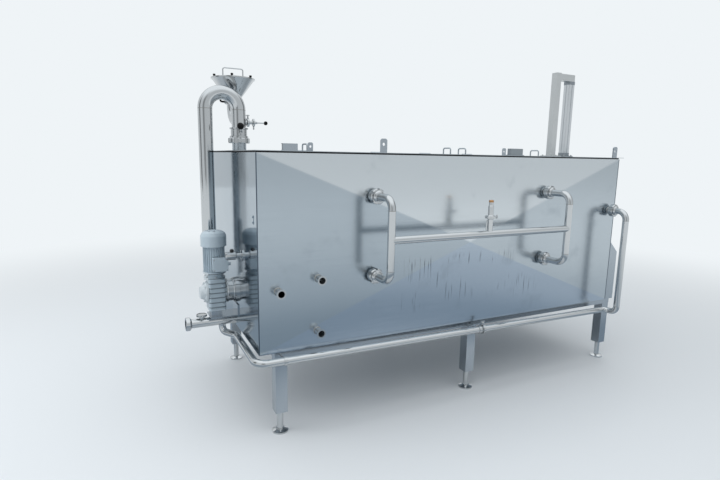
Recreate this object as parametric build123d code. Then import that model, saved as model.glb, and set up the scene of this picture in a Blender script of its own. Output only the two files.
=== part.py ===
from build123d import *
import os
from math import atan2, cos, degrees, hypot, pi, radians, sin, tan

# Butter melter: an insulated stainless steel tank on six legs. A gear motor and pump stand on its left
# end, with outside product pipes, a hot water manifold on the front and a dosing hopper at the back left.
# Millimetres. The tank's own frame has x = 0 at mid length, y = 0 at mid width, z = 0 on the floor, and
# -Y is the front. The finished pieces are moved at the end so that the whole stands on the origin.

# Tank shell
tank_length = 2600.0
tank_width = 1180.0
tank_top = 1500.0
panel_bottom = 467.0
sheet = 3.0
crease_rise = 12.0
seal_height = 8.0
seal_width = 48.0
deck_overhang = 8.0
deck_overhang_right = 35.0
weld_gap = 0.3
tee_step = 0.2

# Inner tank and water jackets
liner_gap_side = 45.0
liner_gap_end = 20.0
floor_low = 485.0
floor_high = 560.0
jacket_depth = 15.0
jacket_wall = 1.5
jacket_half_length = 1100.0
jacket_bottom = 530.0
jacket_top = 1400.0

# Base frame, legs and levelling feet
leg_size = 65.0
leg_wall = 3.0
leg_set_back = 52.0
leg_left = -1178.0
leg_right = 1334.0
leg_bottom = 118.0
leg_bush = 12.0
rail_height = 40.0
foot_stem_radius = 17.0
foot_stem_clearance = 0.06
foot_disc_radius = 44.0
foot_disc_height = 8.0
foot_stem_in_leg = 60.0

# Pocket on the right end wall
pocket_depth = 78.0
pocket_top = 896.0

# Dairy pipes: outside diameters and walls
product_od = 85.0
product_wall = 2.0
outlet_od = 53.0
line_od = 41.0
line_wall = 1.5
line_bend = 61.5
port_od = 38.1
port_bore = 35.1
ferrule_od = 50.5
ferrule_lip = 2.9
ferrule_length = 14.0

# Three clamp ports on the front
port_reach = 60.0
port_places = [(-1198.0, 795.0), (-980.0, 844.0), (-984.0, 559.0)]

# Hot water manifold on the front
manifold_left_x = -660.0
manifold_right_x = 605.0
manifold_high = 1270.0
manifold_low = 835.0
manifold_bar_z = 1057.0
manifold_stand_off = 200.0
stub_reach = 40.0
nut_od = 86.0
nut_length = 32.0
nut_start = 22.0
nut_notches = 6
nut_notch_depth = 6.0
vent_x = -18.0
vent_od = 31.0
vent_clamp_z = 1153.0
vent_clamp_od = 62.0
vent_clamp_height = 14.0
vent_body_height = 84.0
vent_cap_height = 12.0

# Product outlet at the lower left, with its sampling port
outlet_y = -75.0
outlet_z = 510.0
outlet_end = -1590.0
thread_od = 78.0
thread_length = 22.0
sample_port_x = -1500.0
sample_port_od = 28.0
sample_port_rise = 43.0

# Circulation line round the front left corner to the right end
line_tee_x = -1385.0
line_tee_drop = 30.0
line_left_x = -1325.0
line_left_z = 442.0
line_right_z = 412.0
line_front_y = -640.0
line_turn_y = -180.0
line_tight_bend = 36.0
line_clamp_x = 105.0
riser_x = 1240.0
riser_y = -730.0
riser_bend = 44.0
riser_port_z = 1132.0
clip_width = 18.0
clip_wall = 3.0
line_clamp_od = 60.0
line_clamp_length = 16.0

# Return pipe over the left end
return_y = 200.0
return_right_x = -1197.0
return_bend = 100.0
return_top = 1846.0
return_low = 860.0
reducer_height = 60.0
nozzle_depth = 40.0
nozzle_top = 1563.0
big_nut_od = 130.0
big_nut_low = 1546.0
big_nut_high = 1578.0
valve_low = 1580.0
valve_high = 1640.0
valve_od = 112.0
valve_waist_od = 98.0
valve_disc_thickness = 8.0
disc_clearance = 0.5
stem_radius = 6.0
stem_clearance = 0.06
lever_rod_radius = 4.0
knob_radius = 20.0
knob_shift = (-25.0, -155.0, 33.0)

# Sampling valve on the return pipe
sampler_z = 1675.0
sampler_stub_od = 29.0
sampler_knob_radius = 12.5
sampler_knob_x = -1027.0

# Dosing hopper
hopper_y = 330.0
hopper_rim_radius = 130.0
hopper_rim_z = 1947.0
hopper_tip_z = 1825.0
hopper_wall = 2.0
hopper_flange = 6.0
hopper_valve_low = 1790.0
hopper_valve_od = 104.0
hopper_branch_z = 1690.0
hopper_bend = 88.0
hopper_knobs = 6
bail_width = 125.0
bail_height = 60.0
bar_radius = 4.0

# Gear motor and pump, on one upright and one level axis
motor_y = -75.0
pump_z = 690.0
gearbox_width = 124.0
gearbox_half_x_left = 43.0
gearbox_half_x_right = 53.0
gearbox_nose = 5.0
gearbox_low = 588.0
gearbox_high = 768.0
gearbox_wall = 9.0
gearbox_rib = 4.0
gearbox_rib_count = 6
cover_radius = 61.0
cover_depth = 42.0
adapter_radius = 60.0
adapter_foot = 12.0
adapter_waist = 50.0
motor_flange_radius = 64.0
motor_flange_height = 10.0
motor_low = 812.0
motor_high = 960.0
motor_radius = 60.5
motor_core_radius = 54.0
motor_bore_radius = 50.0
motor_fins = 28
motor_fin = 3.0
fan_cover_radius = 71.5
fan_cover_top = 1050.0
fan_cover_wall = 2.0
motor_shaft_radius = 12.0
pinion_shaft_radius = 5.0
rotor_radius = 35.0
rotor_inset = 20.0
shaft_above_motor = 36.0
shaft_step_depth = 12.0
shaft_clearance = 0.06
pump_shaft_radius = 15.0
pump_radius = 65.0
pump_flange_radius = 74.0
pump_flange = 12.0
pump_depth = 62.0
pump_cavity_radius = 55.0
pump_back_wall = 10.0
pump_vanes = 4
suction_radius = 42.0
bevel_cone = 47.4
bevel_face = 17.0
bevel_gap = 0.4
bracket_thickness = 6.0
bracket_top = 551.0
terminal_low = 830.0
terminal_high = 900.0
terminal_reach = 44.0
terminal_left = 22.0
terminal_right = 58.0
terminal_lid = 4.0
terminal_lip = 2.0
gland_radius = 12.0
gland_length = 18.0

# Lids on the deck
lid_front = -520.0
lid_back = 100.0
lid_spans = {"left": (-1045.0, -60.0), "right": (-30.0, 650.0)}
lid_gap = 3.0
lid_ledge = 20.0
lid_skirt = 20.0
hinge_radius = 6.0
hinge_pin_radius = 3.0
hinge_clearance = 0.06
hinge_length = 90.0
hinge_middle = 40.0
hinge_play = 0.5
hinge_leaf = 2.0
hinge_leaf_width = 28.0
hinge_inset = 0.22
handle_length = 70.0
handle_height = 36.0
handle_set_back = 45.0
handle_inset_left = 34.0
handle_inset_right = 48.0

# Small things on the front rim, and the lifting lugs
lug_width = 40.0
lug_height = 75.0
lug_thickness = 8.0
lug_hole_radius = 9.0
lug_hole_drop = 30.0
lug_corner = 8.0
lug_y = 560.0
lug_places = [-590.0, 1285.0]
bracket_x = -1122.0
bracket_half = 38.0
bracket_height = 35.0
rim_inset = 15.0
rim_piece_depth = 30.0
switch_x = 352.0
switch_length = 104.0
switch_height = 38.0
switch_foot = 4.0

# Mast, air cylinder and presser
mast_x = 940.0
mast_y = -300.0
mast_size = 45.0
mast_wall = 3.0
mast_foot_half = 50.0
mast_foot = 8.0
cylinder_foot_half = 45.0
fitting_neck = 14.0
fitting_radius = 8.0
mast_top = 2083.0
cylinder_x = 1071.0
cylinder_size = 52.0
cylinder_low = 1530.0
cylinder_high = 2010.0
cylinder_cap = 22.0
cylinder_bore_radius = 20.0
piston_height = 20.0
piston_clearance = 0.06
rod_radius = 10.0
rod_clearance = 0.06
presser_radius = 130.0
presser_thickness = 12.0
presser_rest_z = 1350.0

# Melting grid inside the tank
grid_tube_od = 33.7
grid_header_od = 60.3
grid_header_y = 500.0
grid_half_length = 1150.0
grid_tubes = 14
grid_wall = 2.0

# Level sensor on the left wall
sensor_y = -270.0
sensor_z = 932.0
sensor_reach = 95.0
sensor_radius = 23.0

# Small plate on the left wall
small_plate_y = -517.0
small_plate_z = 1157.0
small_plate_width = 24.0
small_plate_height = 46.0
small_plate_thickness = 2.0
small_screw_step = 14.0
small_screw_radius = 4.5

# Worked out from the sizes above
half_length = tank_length / 2
half_width = tank_width / 2
front = -half_width
back = half_width
left = -half_length
right = half_length
deck_under = tank_top - sheet
panel_top = deck_under - seal_height
liner_x = half_length - liner_gap_end
liner_y = half_width - liner_gap_side
frame_top = panel_bottom
frame_low = frame_top - rail_height
leg_y = half_width - leg_set_back
leg_places = [leg_left, (leg_left + leg_right) / 2, leg_right]
manifold_y = front - manifold_stand_off
line_slope = (line_right_z - line_left_z) / (riser_x - line_left_x)
pump_left = left - pump_depth
motor_x = pump_left - gearbox_nose - gearbox_half_x_right
gearbox_left = motor_x - gearbox_half_x_left
gearbox_right = motor_x + gearbox_half_x_right
discharge_x = pump_left + (pump_depth - pump_flange) / 2
valve_bore = product_od / 2 - product_wall
return_left_x = return_right_x - 2 * return_bend
return_axis = (return_right_x, return_y)
whole_low_x = outlet_end
whole_high_x = right + pocket_depth
whole_low_y = manifold_y - vent_clamp_od / 2
whole_high_y = back + crease_rise
shift = Pos(-(whole_low_x + whole_high_x) / 2, -(whole_low_y + whole_high_y) / 2, 0)


def block(x, y, z):
    """Box between its low and high coordinates."""
    size = [axis[1] - axis[0] for axis in (x, y, z)]
    middle = [(axis[0] + axis[1]) / 2 for axis in (x, y, z)]
    return Pos(*middle) * Box(*size)


def prism(points, axis, low, high):
    """Flat outline pushed along one axis. The points give the other two coordinates, in X, Y, Z order."""
    places = {
        "x": [(low, a, b) for a, b in points],
        "y": [(a, low, b) for a, b in points],
        "z": [(a, b, low) for a, b in points],
    }[axis]
    way = {"x": (1, 0, 0), "y": (0, 1, 0), "z": (0, 0, 1)}[axis]
    face = make_face(Polyline(*places, close=True))
    return extrude(face, amount=high - low, dir=way)


def rod(start, way, length, radius):
    """Round bar from a start point along a direction."""
    return extrude(Plane(origin=start, z_dir=way) * Circle(radius), amount=length)


def ring(start, way, length, outer, inner):
    """Round tube from a start point along a direction."""
    return rod(start, way, length, outer) - rod(start, way, length, inner)


def turned(start, way, outline):
    """Turned piece. The outline points are radius and distance along the axis."""
    profile = make_face(Polyline(*[(r, 0, s) for r, s in outline], close=True))
    return Plane(origin=start, z_dir=way).location * revolve(profile, axis=Axis.Z)


def core(points, bend, radius):
    """Round bar along a route of straight runs joined by bends."""
    path = FilletPolyline(*points, radius=bend) if len(points) > 2 else Line(*points)
    return sweep(Plane(origin=path @ 0, z_dir=path % 0) * Circle(radius), path=path)


def pipe(points, bend, od, wall):
    """Bent pipe along a route."""
    return core(points, bend, od / 2) - core(points, bend, od / 2 - wall)


def front_holes(places, radius):
    """Bars along Y through both front layers, for cutting round holes."""
    return [rod((x, front - 2 * crease_rise, z), (0, 1, 0), liner_gap_side + 4 * crease_rise, radius)
            for x, z in places]


def line_z(x):
    """Height of the sloping circulation line at a place along the front."""
    return line_left_z + line_slope * (x - line_left_x)


def cut(piece, tools):
    """Piece less each tool in turn."""
    for tool in tools:
        piece = piece - tool
    return piece


def pyramid(y_base, rise, half_x, low, high):
    """Low pyramid standing on an upright rectangle, its point towards -Y for a negative rise."""
    corners = [(-half_x, low), (half_x, low), (half_x, high), (-half_x, high)]
    base = [Vector(x, y_base, z) for x, z in corners]
    tip = Vector(0, y_base + rise, (low + high) / 2)
    sides = [Face(Wire.make_polygon([base[i], base[(i + 1) % 4], tip])) for i in range(4)]
    return Solid(Shell([Face(Wire.make_polygon(base))] + sides))


def long_panel(side):
    """Cross broken wall sheet: four flat triangles that rise a little to the middle of the wall."""
    outside = side * half_width
    inside = side * (half_width - sheet)
    slab = block((left, right), sorted((outside, inside)), (panel_bottom, panel_top))
    bulge = pyramid(outside, side * crease_rise, half_length, panel_bottom, panel_top)
    hollow = pyramid(inside, side * crease_rise, half_length - sheet, panel_bottom + sheet,
                     panel_top - sheet)
    return slab + bulge - hollow


def front_panel():
    """Front wall with the holes of its three clamp ports and five unions."""
    ports = front_holes(port_places, port_od / 2 + weld_gap)
    unions = front_holes(union_places(), line_od / 2 + weld_gap)
    return cut(long_panel(-1), ports + unions)


def union_places():
    """Places of the five unions on the front: four of the manifold and one of the circulation line."""
    manifold = [(x, z) for x in (manifold_left_x, manifold_right_x)
                for z in (manifold_high, manifold_low)]
    return manifold + [(riser_x, riser_port_z)]


def left_panel():
    """Left end wall, with holes for the pump, the outlet and the level sensor."""
    wall = block((left, left + sheet), (front + sheet, back - sheet), (panel_bottom, panel_top))
    holes = [rod((left - 1, motor_y, pump_z), (1, 0, 0), sheet + 2, suction_radius + weld_gap),
             rod((left - 1, outlet_y, outlet_z), (1, 0, 0), sheet + 2, outlet_od / 2 + weld_gap)]
    return cut(wall, holes)


def right_panel():
    """Right end wall."""
    return block((right - sheet, right), (front + sheet, back - sheet), (panel_bottom, panel_top))


def bottom_cover():
    """Flat sheet under the tank."""
    return block((left + sheet, right - sheet), (front + sheet, back - sheet),
                 (panel_bottom, panel_bottom + sheet))


def end_pocket():
    """Shallow sheet box on the right end wall, with a sloping top."""
    def outline(inset):
        slope = inset * (2 ** 0.5 - 1)
        return [(right, panel_bottom + inset), (right + pocket_depth - inset, panel_bottom + inset),
                (right + pocket_depth - inset, pocket_top - pocket_depth - slope),
                (right, pocket_top - inset * 2 ** 0.5)]
    outside = prism(outline(0), "y", front, back)
    return outside - prism(outline(sheet), "y", front + sheet, back - sheet)


def floor_top(x):
    """Height of the inner tank's sloping floor."""
    return floor_low + (x + liner_x) * (floor_high - floor_low) / (2 * liner_x)


def liner_floor():
    """Sloping floor plate that falls to the outlet end."""
    ends = (-liner_x, liner_x)
    top = [(x, floor_top(x)) for x in ends]
    under = [(x, floor_top(x) - sheet) for x in reversed(ends)]
    return prism(top + under, "y", -liner_y, liner_y)


def liner_wall(low_x, high_x, low_y, high_y):
    """Upright plate of the inner tank that stands on its floor."""
    outline = [(low_x, floor_top(low_x)), (high_x, floor_top(high_x)), (high_x, panel_top),
               (low_x, panel_top)]
    return prism(outline, "y", low_y, high_y)


def inner_tank():
    """Welded inner tank of a sloping floor and four walls."""
    lower = [(manifold_left_x, manifold_low), (manifold_right_x, manifold_low)]
    through = front_holes([port_places[0]], port_bore / 2)
    through += [rod((x, -liner_y - 1, z), (0, 1, 0), sheet + 2, line_od / 2 + weld_gap) for x, z in lower]
    through += [rod((riser_x, -liner_y - 1, riser_port_z), (0, 1, 0), sheet + 2, line_od / 2 - line_wall)]
    end_holes = [rod((-liner_x - 1, motor_y, pump_z), (1, 0, 0), sheet + 2, suction_radius - sheet),
                 rod((-liner_x - 1, outlet_y, outlet_z + 1), (1, 0, 0), sheet + 2,
                     outlet_od / 2 - line_wall - 1)]
    end_y = (-liner_y + sheet, liner_y - sheet)
    return [liner_floor(),
            cut(liner_wall(-liner_x, liner_x, -liner_y, -liner_y + sheet), through),
            liner_wall(-liner_x, liner_x, liner_y - sheet, liner_y),
            cut(liner_wall(-liner_x, -liner_x + sheet, *end_y), end_holes),
            liner_wall(liner_x - sheet, liner_x, *end_y)]


def water_jacket(side):
    """Shallow pan welded to one long wall of the inner tank."""
    outer_y = side * (liner_y + jacket_depth)
    inner_y = side * (liner_y + jacket_depth - jacket_wall)
    pan = block((-jacket_half_length, jacket_half_length), sorted((side * liner_y, outer_y)),
                (jacket_bottom, jacket_top))
    room = block((-jacket_half_length + jacket_wall, jacket_half_length - jacket_wall),
                 sorted((side * (liner_y - 1), inner_y)), (jacket_bottom + jacket_wall,
                                                            jacket_top - jacket_wall))
    return pan - room


def front_jacket():
    """Front water jacket: two ports and the two upper unions open into it, the lower two pass through."""
    pan = water_jacket(-1)
    ports = front_holes(port_places[1:], port_bore / 2)
    upper = [(manifold_left_x, manifold_high), (manifold_right_x, manifold_high)]
    lower = [(manifold_left_x, manifold_low), (manifold_right_x, manifold_low)]
    return cut(pan, ports + front_holes(upper, line_od / 2 - line_wall)
               + front_holes(lower, line_od / 2 + weld_gap))


def insulation():
    """Slabs between the water jackets and the outer walls, with holes for the stubs."""
    slabs = []
    for side in (-1, 1):
        y = sorted((side * (liner_y + jacket_depth + weld_gap), side * (half_width - sheet - weld_gap)))
        slab = block((-jacket_half_length, jacket_half_length), y, (jacket_bottom, jacket_top))
        if side < 0:
            ports = front_holes(port_places, port_od / 2 + weld_gap)
            slab = cut(slab, ports + front_holes(union_places(), line_od / 2 + weld_gap))
        slabs.append(slab)
    return slabs


def rim_seal():
    """Flat black seal between the tank's upper edge and the deck."""
    outer = block((left + sheet, right - sheet), (front + sheet, back - sheet), (panel_top, deck_under))
    inner = block((left + seal_width, right - seal_width), (front + seal_width, back - seal_width),
                  (panel_top - 1, deck_under + 1))
    return outer - inner


def top_deck():
    """Cover plate with two lid openings and the holes of the return pipe and the presser rod."""
    plate = block((left - deck_overhang, right + deck_overhang_right),
                  (front - deck_overhang, back + deck_overhang), (deck_under, tank_top))
    tools = [block(span, (lid_front, lid_back), (deck_under - 1, tank_top + 1))
             for span in lid_spans.values()]
    tools.append(rod((*return_axis, deck_under - 1), (0, 0, 1), sheet + 2, product_od / 2 + weld_gap))
    tools.append(rod((cylinder_x, mast_y, deck_under - 1), (0, 0, 1), sheet + 2, rod_radius + 1))
    return cut(plate, tools)


def lid_ledges():
    """Frames under the deck that the lids rest on."""
    frames = []
    for span in lid_spans.values():
        wide = block((span[0] - lid_ledge, span[1] + lid_ledge),
                     (lid_front - lid_ledge, lid_back + lid_ledge), (deck_under - sheet, deck_under))
        room = block((span[0] + lid_ledge, span[1] - lid_ledge),
                     (lid_front + lid_ledge, lid_back - lid_ledge), (deck_under - sheet - 1, deck_under + 1))
        frames.append(wide - room)
    return frames


def hinge_centres(span):
    """Places of a lid's two hinges along its back edge."""
    inset = hinge_inset * (span[1] - span[0])
    return [span[0] + inset, span[1] - inset]


def hinge_axis_z():
    """Height of the hinge pins."""
    return tank_top + hinge_radius


def knuckle(low, high, side):
    """One hinge barrel with its leaf: side -1 lies on the lid, side 1 on the deck."""
    axis = (low, lid_back, hinge_axis_z())
    barrel = rod(axis, (1, 0, 0), high - low, hinge_radius)
    reach = sorted((lid_back, lid_back + side * hinge_leaf_width))
    leaf = block((low, high), reach, (tank_top, tank_top + hinge_leaf))
    room = hinge_clearance if side < 0 else 0.0
    bore = rod((low - 1, lid_back, hinge_axis_z()), (1, 0, 0), high - low + 2, hinge_pin_radius + room)
    return barrel + leaf - bore


def lid_skirt_strips(x, y):
    """Four strips welded under a lid, inside its ledge."""
    z = (deck_under - lid_skirt, deck_under)
    long_strips = [block(x, strip, z) for strip in ((y[0], y[0] + sheet), (y[1] - sheet, y[1]))]
    short_y = (y[0] + sheet, y[1] - sheet)
    return long_strips + [block(strip, short_y, z) for strip in ((x[0], x[0] + sheet), (x[1] - sheet, x[1]))]


def lid(span):
    """Flat lid with its hinge barrels and the strips under its edges."""
    plate = block((span[0] + lid_gap, span[1] - lid_gap), (lid_front + lid_gap, lid_back - lid_gap),
                  (deck_under, tank_top))
    for centre in hinge_centres(span):
        for side in (-1, 1):
            near = centre + side * (hinge_middle / 2 + hinge_play)
            far = centre + side * hinge_length / 2
            plate = plate + knuckle(*sorted((near, far)), -1)
    inset = lid_ledge + lid_gap
    strips = lid_skirt_strips((span[0] + inset, span[1] - inset), (lid_front + inset, lid_back - inset))
    return [plate] + strips


def deck_hinges():
    """Hinge halves on the deck, one barrel each."""
    return [knuckle(centre - hinge_middle / 2, centre + hinge_middle / 2, 1)
            for span in lid_spans.values() for centre in hinge_centres(span)]


def hinge_pins():
    """Hinge pins, held in the barrels on the deck."""
    return [rod((centre - hinge_length / 2, lid_back, hinge_axis_z()), (1, 0, 0), hinge_length,
                hinge_pin_radius)
            for span in lid_spans.values() for centre in hinge_centres(span)]


def bow(start, end, height, radius):
    """Handle of bent round bar that stands on a flat top."""
    up = Vector(0, 0, height)
    route = [Vector(*start), Vector(*start) + up, Vector(*end) + up, Vector(*end)]
    return core([tuple(point) for point in route], 3 * radius, radius)


def lid_handles(span):
    """Two bow handles near the front corners of a lid."""
    y = lid_front + handle_set_back
    return [bow((x, y - handle_length / 2, tank_top), (x, y + handle_length / 2, tank_top), handle_height,
                bar_radius) for x in (span[0] + handle_inset_left, span[1] - handle_inset_right)]


def base_frame():
    """Two long rails and three cross rails of rectangular tube, with closing caps."""
    half = leg_size / 2
    x = (leg_left - half, leg_right + half)
    pieces = []
    for side in (-1, 1):
        y = sorted((side * (leg_y - half), side * (leg_y + half)))
        tube = block(x, y, (frame_low, frame_top))
        room = block(x, (y[0] + leg_wall, y[1] - leg_wall), (frame_low + leg_wall, frame_top - leg_wall))
        pieces.append(tube - room)
        pieces += [block(end, y, (frame_low, frame_top))
                   for end in ((x[0] - leg_wall, x[0]), (x[1], x[1] + leg_wall))]
    for place in leg_places:
        cross_x = (place - half, place + half)
        cross_y = (-leg_y + half, leg_y - half)
        tube = block(cross_x, cross_y, (frame_low, frame_top))
        room = block((cross_x[0] + leg_wall, cross_x[1] - leg_wall), cross_y,
                     (frame_low + leg_wall, frame_top - leg_wall))
        pieces.append(tube - room)
    return pieces


def legs():
    """Six legs of square tube, each closed by a bush plate for its foot."""
    pieces = []
    half = leg_size / 2
    for x in leg_places:
        for y in (-leg_y, leg_y):
            tube = block((x - half, x + half), (y - half, y + half), (leg_bottom, frame_low))
            room = block((x - half + leg_wall, x + half - leg_wall),
                         (y - half + leg_wall, y + half - leg_wall), (leg_bottom + leg_bush, frame_low))
            bore = rod((x, y, leg_bottom - 1), (0, 0, 1), leg_bush + 2,
                       foot_stem_radius + foot_stem_clearance)
            pieces.append(tube - room - bore)
    return pieces


def foot(x, y):
    """Levelling foot: round stem on a domed disc."""
    neck = foot_disc_height + 8.0
    outline = [(0, 0), (foot_disc_radius, 0), (foot_disc_radius, foot_disc_height),
               (foot_stem_radius + 6, neck), (foot_stem_radius, neck),
               (foot_stem_radius, leg_bottom + foot_stem_in_leg), (0, leg_bottom + foot_stem_in_leg)]
    return turned((x, y, 0), (0, 0, 1), outline)


def clamp_port(x, z, depth):
    """Pipe stub with a clamp ferrule, welded through the front."""
    radius = port_od / 2
    lip = ferrule_od / 2
    bore = port_bore / 2
    outline = [(bore, -depth), (radius, -depth), (radius, port_reach - ferrule_length),
               (lip, port_reach - ferrule_lip), (lip, port_reach), (bore, port_reach)]
    return turned((x, front, z), (0, -1, 0), outline)


def clamp_ports():
    """The three ports: the first opens into the tank, the others into the water jacket."""
    depths = [liner_gap_side, liner_gap_side - jacket_depth, liner_gap_side - jacket_depth]
    return [clamp_port(x, z, depth) for (x, z), depth in zip(port_places, depths)]


def union_stubs():
    """Stubs inside the five unions on the front."""
    to_header = half_width - grid_header_y - grid_header_od / 2
    depths = {manifold_high: liner_gap_side - jacket_depth, manifold_low: to_header,
              riser_port_z: liner_gap_side}
    return [ring((x, front + depths[z], z), (0, -1, 0), depths[z] + stub_reach, line_od / 2,
                 line_od / 2 - line_wall) for x, z in union_places()]


def notched_nut(start, way, length, od, bore):
    """Round union nut with notches for a hook spanner."""
    edge = od / 2
    nut = turned((0, 0, 0), (0, 0, 1), [(bore, 0), (edge - 4, 0), (edge, 4), (edge, length - 4),
                                        (edge - 4, length), (bore, length)])
    width = edge * 0.34
    for index in range(nut_notches):
        groove = block((edge - nut_notch_depth, edge + 1), (-width / 2, width / 2), (-1, length + 1))
        nut = nut - Rot(0, 0, index * 360 / nut_notches) * groove
    return Plane(origin=start, z_dir=way).location * nut


def union_nuts():
    """The five union nuts on the front."""
    return [notched_nut((x, front - nut_start, z), (0, -1, 0), nut_length, nut_od,
                        line_od / 2 + weld_gap) for x, z in union_places()]


def manifold_limb(x):
    """Upright pipe of the manifold, bent back to its two unions."""
    near = front - stub_reach
    route = [(x, near, manifold_high), (x, manifold_y, manifold_high), (x, manifold_y, manifold_low),
             (x, near, manifold_low)]
    hole = rod((x, manifold_y, manifold_bar_z), (1 if x < 0 else -1, 0, 0), line_od,
               line_od / 2 - line_wall - tee_step)
    return pipe(route, line_bend, line_od, line_wall) - hole


def manifold_bar():
    """Level pipe between the two limbs, its ends cut to sit on them."""
    start = (manifold_left_x, manifold_y, manifold_bar_z)
    bar = ring(start, (1, 0, 0), manifold_right_x - manifold_left_x, line_od / 2, line_od / 2 - line_wall)
    limbs = [rod((x, manifold_y, manifold_low), (0, 0, 1), manifold_high - manifold_low, line_od / 2)
             for x in (manifold_left_x, manifold_right_x)]
    hole = rod((vent_x, manifold_y, manifold_bar_z), (0, 0, 1), line_od, vent_od / 2 - line_wall)
    return cut(bar, limbs + [hole])


def vent_stub():
    """Upright stub on the bar with a clamp ferrule and a thin drip tube beside it."""
    low = manifold_bar_z
    top = vent_clamp_z
    wide = vent_clamp_od / 2 - 6
    outline = [(vent_od / 2 - line_wall, 0), (vent_od / 2, 0), (vent_od / 2, top - low - 12),
               (wide, top - low - 3), (wide, top - low), (vent_od / 2 - line_wall, top - low)]
    stub = turned((vent_x, manifold_y, low), (0, 0, 1), outline)
    stub = stub - rod((vent_x - line_od, manifold_y, low), (1, 0, 0), 2 * line_od, line_od / 2)
    return stub


def drip_tube():
    """Thin tube that hangs beside the vent stub, bent in to it at the top."""
    x = vent_x - 25.0
    top = vent_clamp_z - 20.0
    route = [(x, manifold_y, manifold_bar_z + line_od / 2 + 2), (x, manifold_y, top),
             (vent_x - vent_od / 2 + 1, manifold_y, top)]
    tube = core(route, 8.0, 4.0)
    return tube - rod((vent_x, manifold_y, manifold_bar_z), (0, 0, 1), line_od * 3, vent_od / 2)


def clamp_band(start, way, length, outer, inner, ear_way):
    """Hinged pipe clamp: a ring with a bolt ear on one side."""
    band = ring(start, way, length, outer, inner)
    middle = Vector(*start) + Vector(*way) * (length / 2)
    ear = rod(tuple(middle + Vector(*ear_way) * (outer - 2)), ear_way, 14.0, length * 0.42)
    return band + ear


def vent_clamp():
    """Clamp round the vent valve's ferrules."""
    start = (vent_x, manifold_y, vent_clamp_z - vent_clamp_height / 2)
    return clamp_band(start, (0, 0, 1), vent_clamp_height, vent_clamp_od / 2,
                      vent_clamp_od / 2 - 6 + weld_gap, (1, 0, 0))


def vent_valve():
    """Upright vent valve body with a shoulder, hollow for its spring."""
    wide = vent_clamp_od / 2 - 6
    radius = vent_od / 2
    outline = [(radius - 6, 0), (wide, 0), (wide, 3), (radius, 12), (radius, vent_body_height - 22),
               (radius - 3, vent_body_height - 18), (radius - 3, vent_body_height),
               (radius - 6, vent_body_height)]
    return turned((vent_x, manifold_y, vent_clamp_z), (0, 0, 1), outline)


def vent_cap():
    """Small cap on the vent valve, with a spigot inside the body."""
    radius = vent_od / 2
    outline = [(0, -10), (radius - 7, -10), (radius - 7, 0), (radius - 2, 0),
               (radius - 2, vent_cap_height - 3), (radius - 5, vent_cap_height), (0, vent_cap_height)]
    return turned((vent_x, manifold_y, vent_clamp_z + vent_body_height), (0, 0, 1), outline)


def outlet_pipe():
    """Product outlet with a male thread at its end, a branch down and a sampling stub up."""
    start = -liner_x
    length = start - outlet_end
    radius = outlet_od / 2
    axis = (outlet_end, outlet_y, outlet_z)
    tee = (line_tee_x, outlet_y, outlet_z)
    stub = (sample_port_x, outlet_y, outlet_z)
    tee_length = radius + line_tee_drop - radius
    outside = rod(axis, (1, 0, 0), length, radius)
    outside += turned(axis, (1, 0, 0), [(0, 0), (thread_od / 2 - 2, 0), (thread_od / 2, 2),
                                        (thread_od / 2, thread_length), (radius, thread_length + 10),
                                        (0, thread_length + 10)])
    outside += rod(tee, (0, 0, -1), tee_length, line_od / 2)
    outside += rod(stub, (0, 0, 1), sample_port_rise, sample_port_od / 2)
    outside += rod((sample_port_x, outlet_y, outlet_z + sample_port_rise - 3), (0, 0, 1), 3,
                   ferrule_od / 2)
    inside = rod(axis, (1, 0, 0), length, radius - line_wall)
    inside += rod(tee, (0, 0, -1), tee_length, line_od / 2 - line_wall)
    inside += rod(stub, (0, 0, 1), sample_port_rise, sample_port_od / 2 - line_wall)
    return outside - inside


def sample_cap():
    """Blind cap on the outlet's sampling stub."""
    return rod((sample_port_x, outlet_y, outlet_z + sample_port_rise), (0, 0, 1), 5, ferrule_od / 2)


def sample_clamp():
    """Clamp round the blind cap."""
    return clamp_band((sample_port_x, outlet_y, outlet_z + sample_port_rise - 4), (0, 0, 1), 11,
                      ferrule_od / 2 + 5, ferrule_od / 2 + weld_gap, (0, -1, 0))


def circulation_left():
    """Line from the outlet's branch round the front corner to the clamp on the front."""
    start_z = outlet_z - line_tee_drop
    route = [(line_tee_x, outlet_y, start_z), (line_tee_x, outlet_y, line_left_z),
             (line_left_x, line_turn_y, line_left_z), (line_left_x, line_front_y, line_left_z),
             (line_clamp_x, line_front_y, line_z(line_clamp_x))]
    return pipe(route, [line_tight_bend, line_bend, line_bend], line_od, line_wall)


def circulation_right():
    """Right end of the line: along the front, out, up and back to its union."""
    low = line_z(riser_x)
    route = [(line_clamp_x, line_front_y, line_z(line_clamp_x)), (riser_x, line_front_y, low),
             (riser_x, riser_y, low), (riser_x, riser_y, riser_port_z),
             (riser_x, front - stub_reach, riser_port_z)]
    return pipe(route, [riser_bend, riser_bend, line_bend], line_od, line_wall)


def line_way():
    """Direction of the sloping line along the front."""
    length = hypot(1, line_slope)
    return (1 / length, 0, line_slope / length)


def line_clamp():
    """Clamp over the joint of the circulation line."""
    start = Vector(line_clamp_x, line_front_y, line_z(line_clamp_x))
    start = start - Vector(*line_way()) * (line_clamp_length / 2)
    return clamp_band(tuple(start), line_way(), line_clamp_length, line_clamp_od / 2,
                      line_od / 2 + weld_gap, (0, 0, 1))


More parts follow.
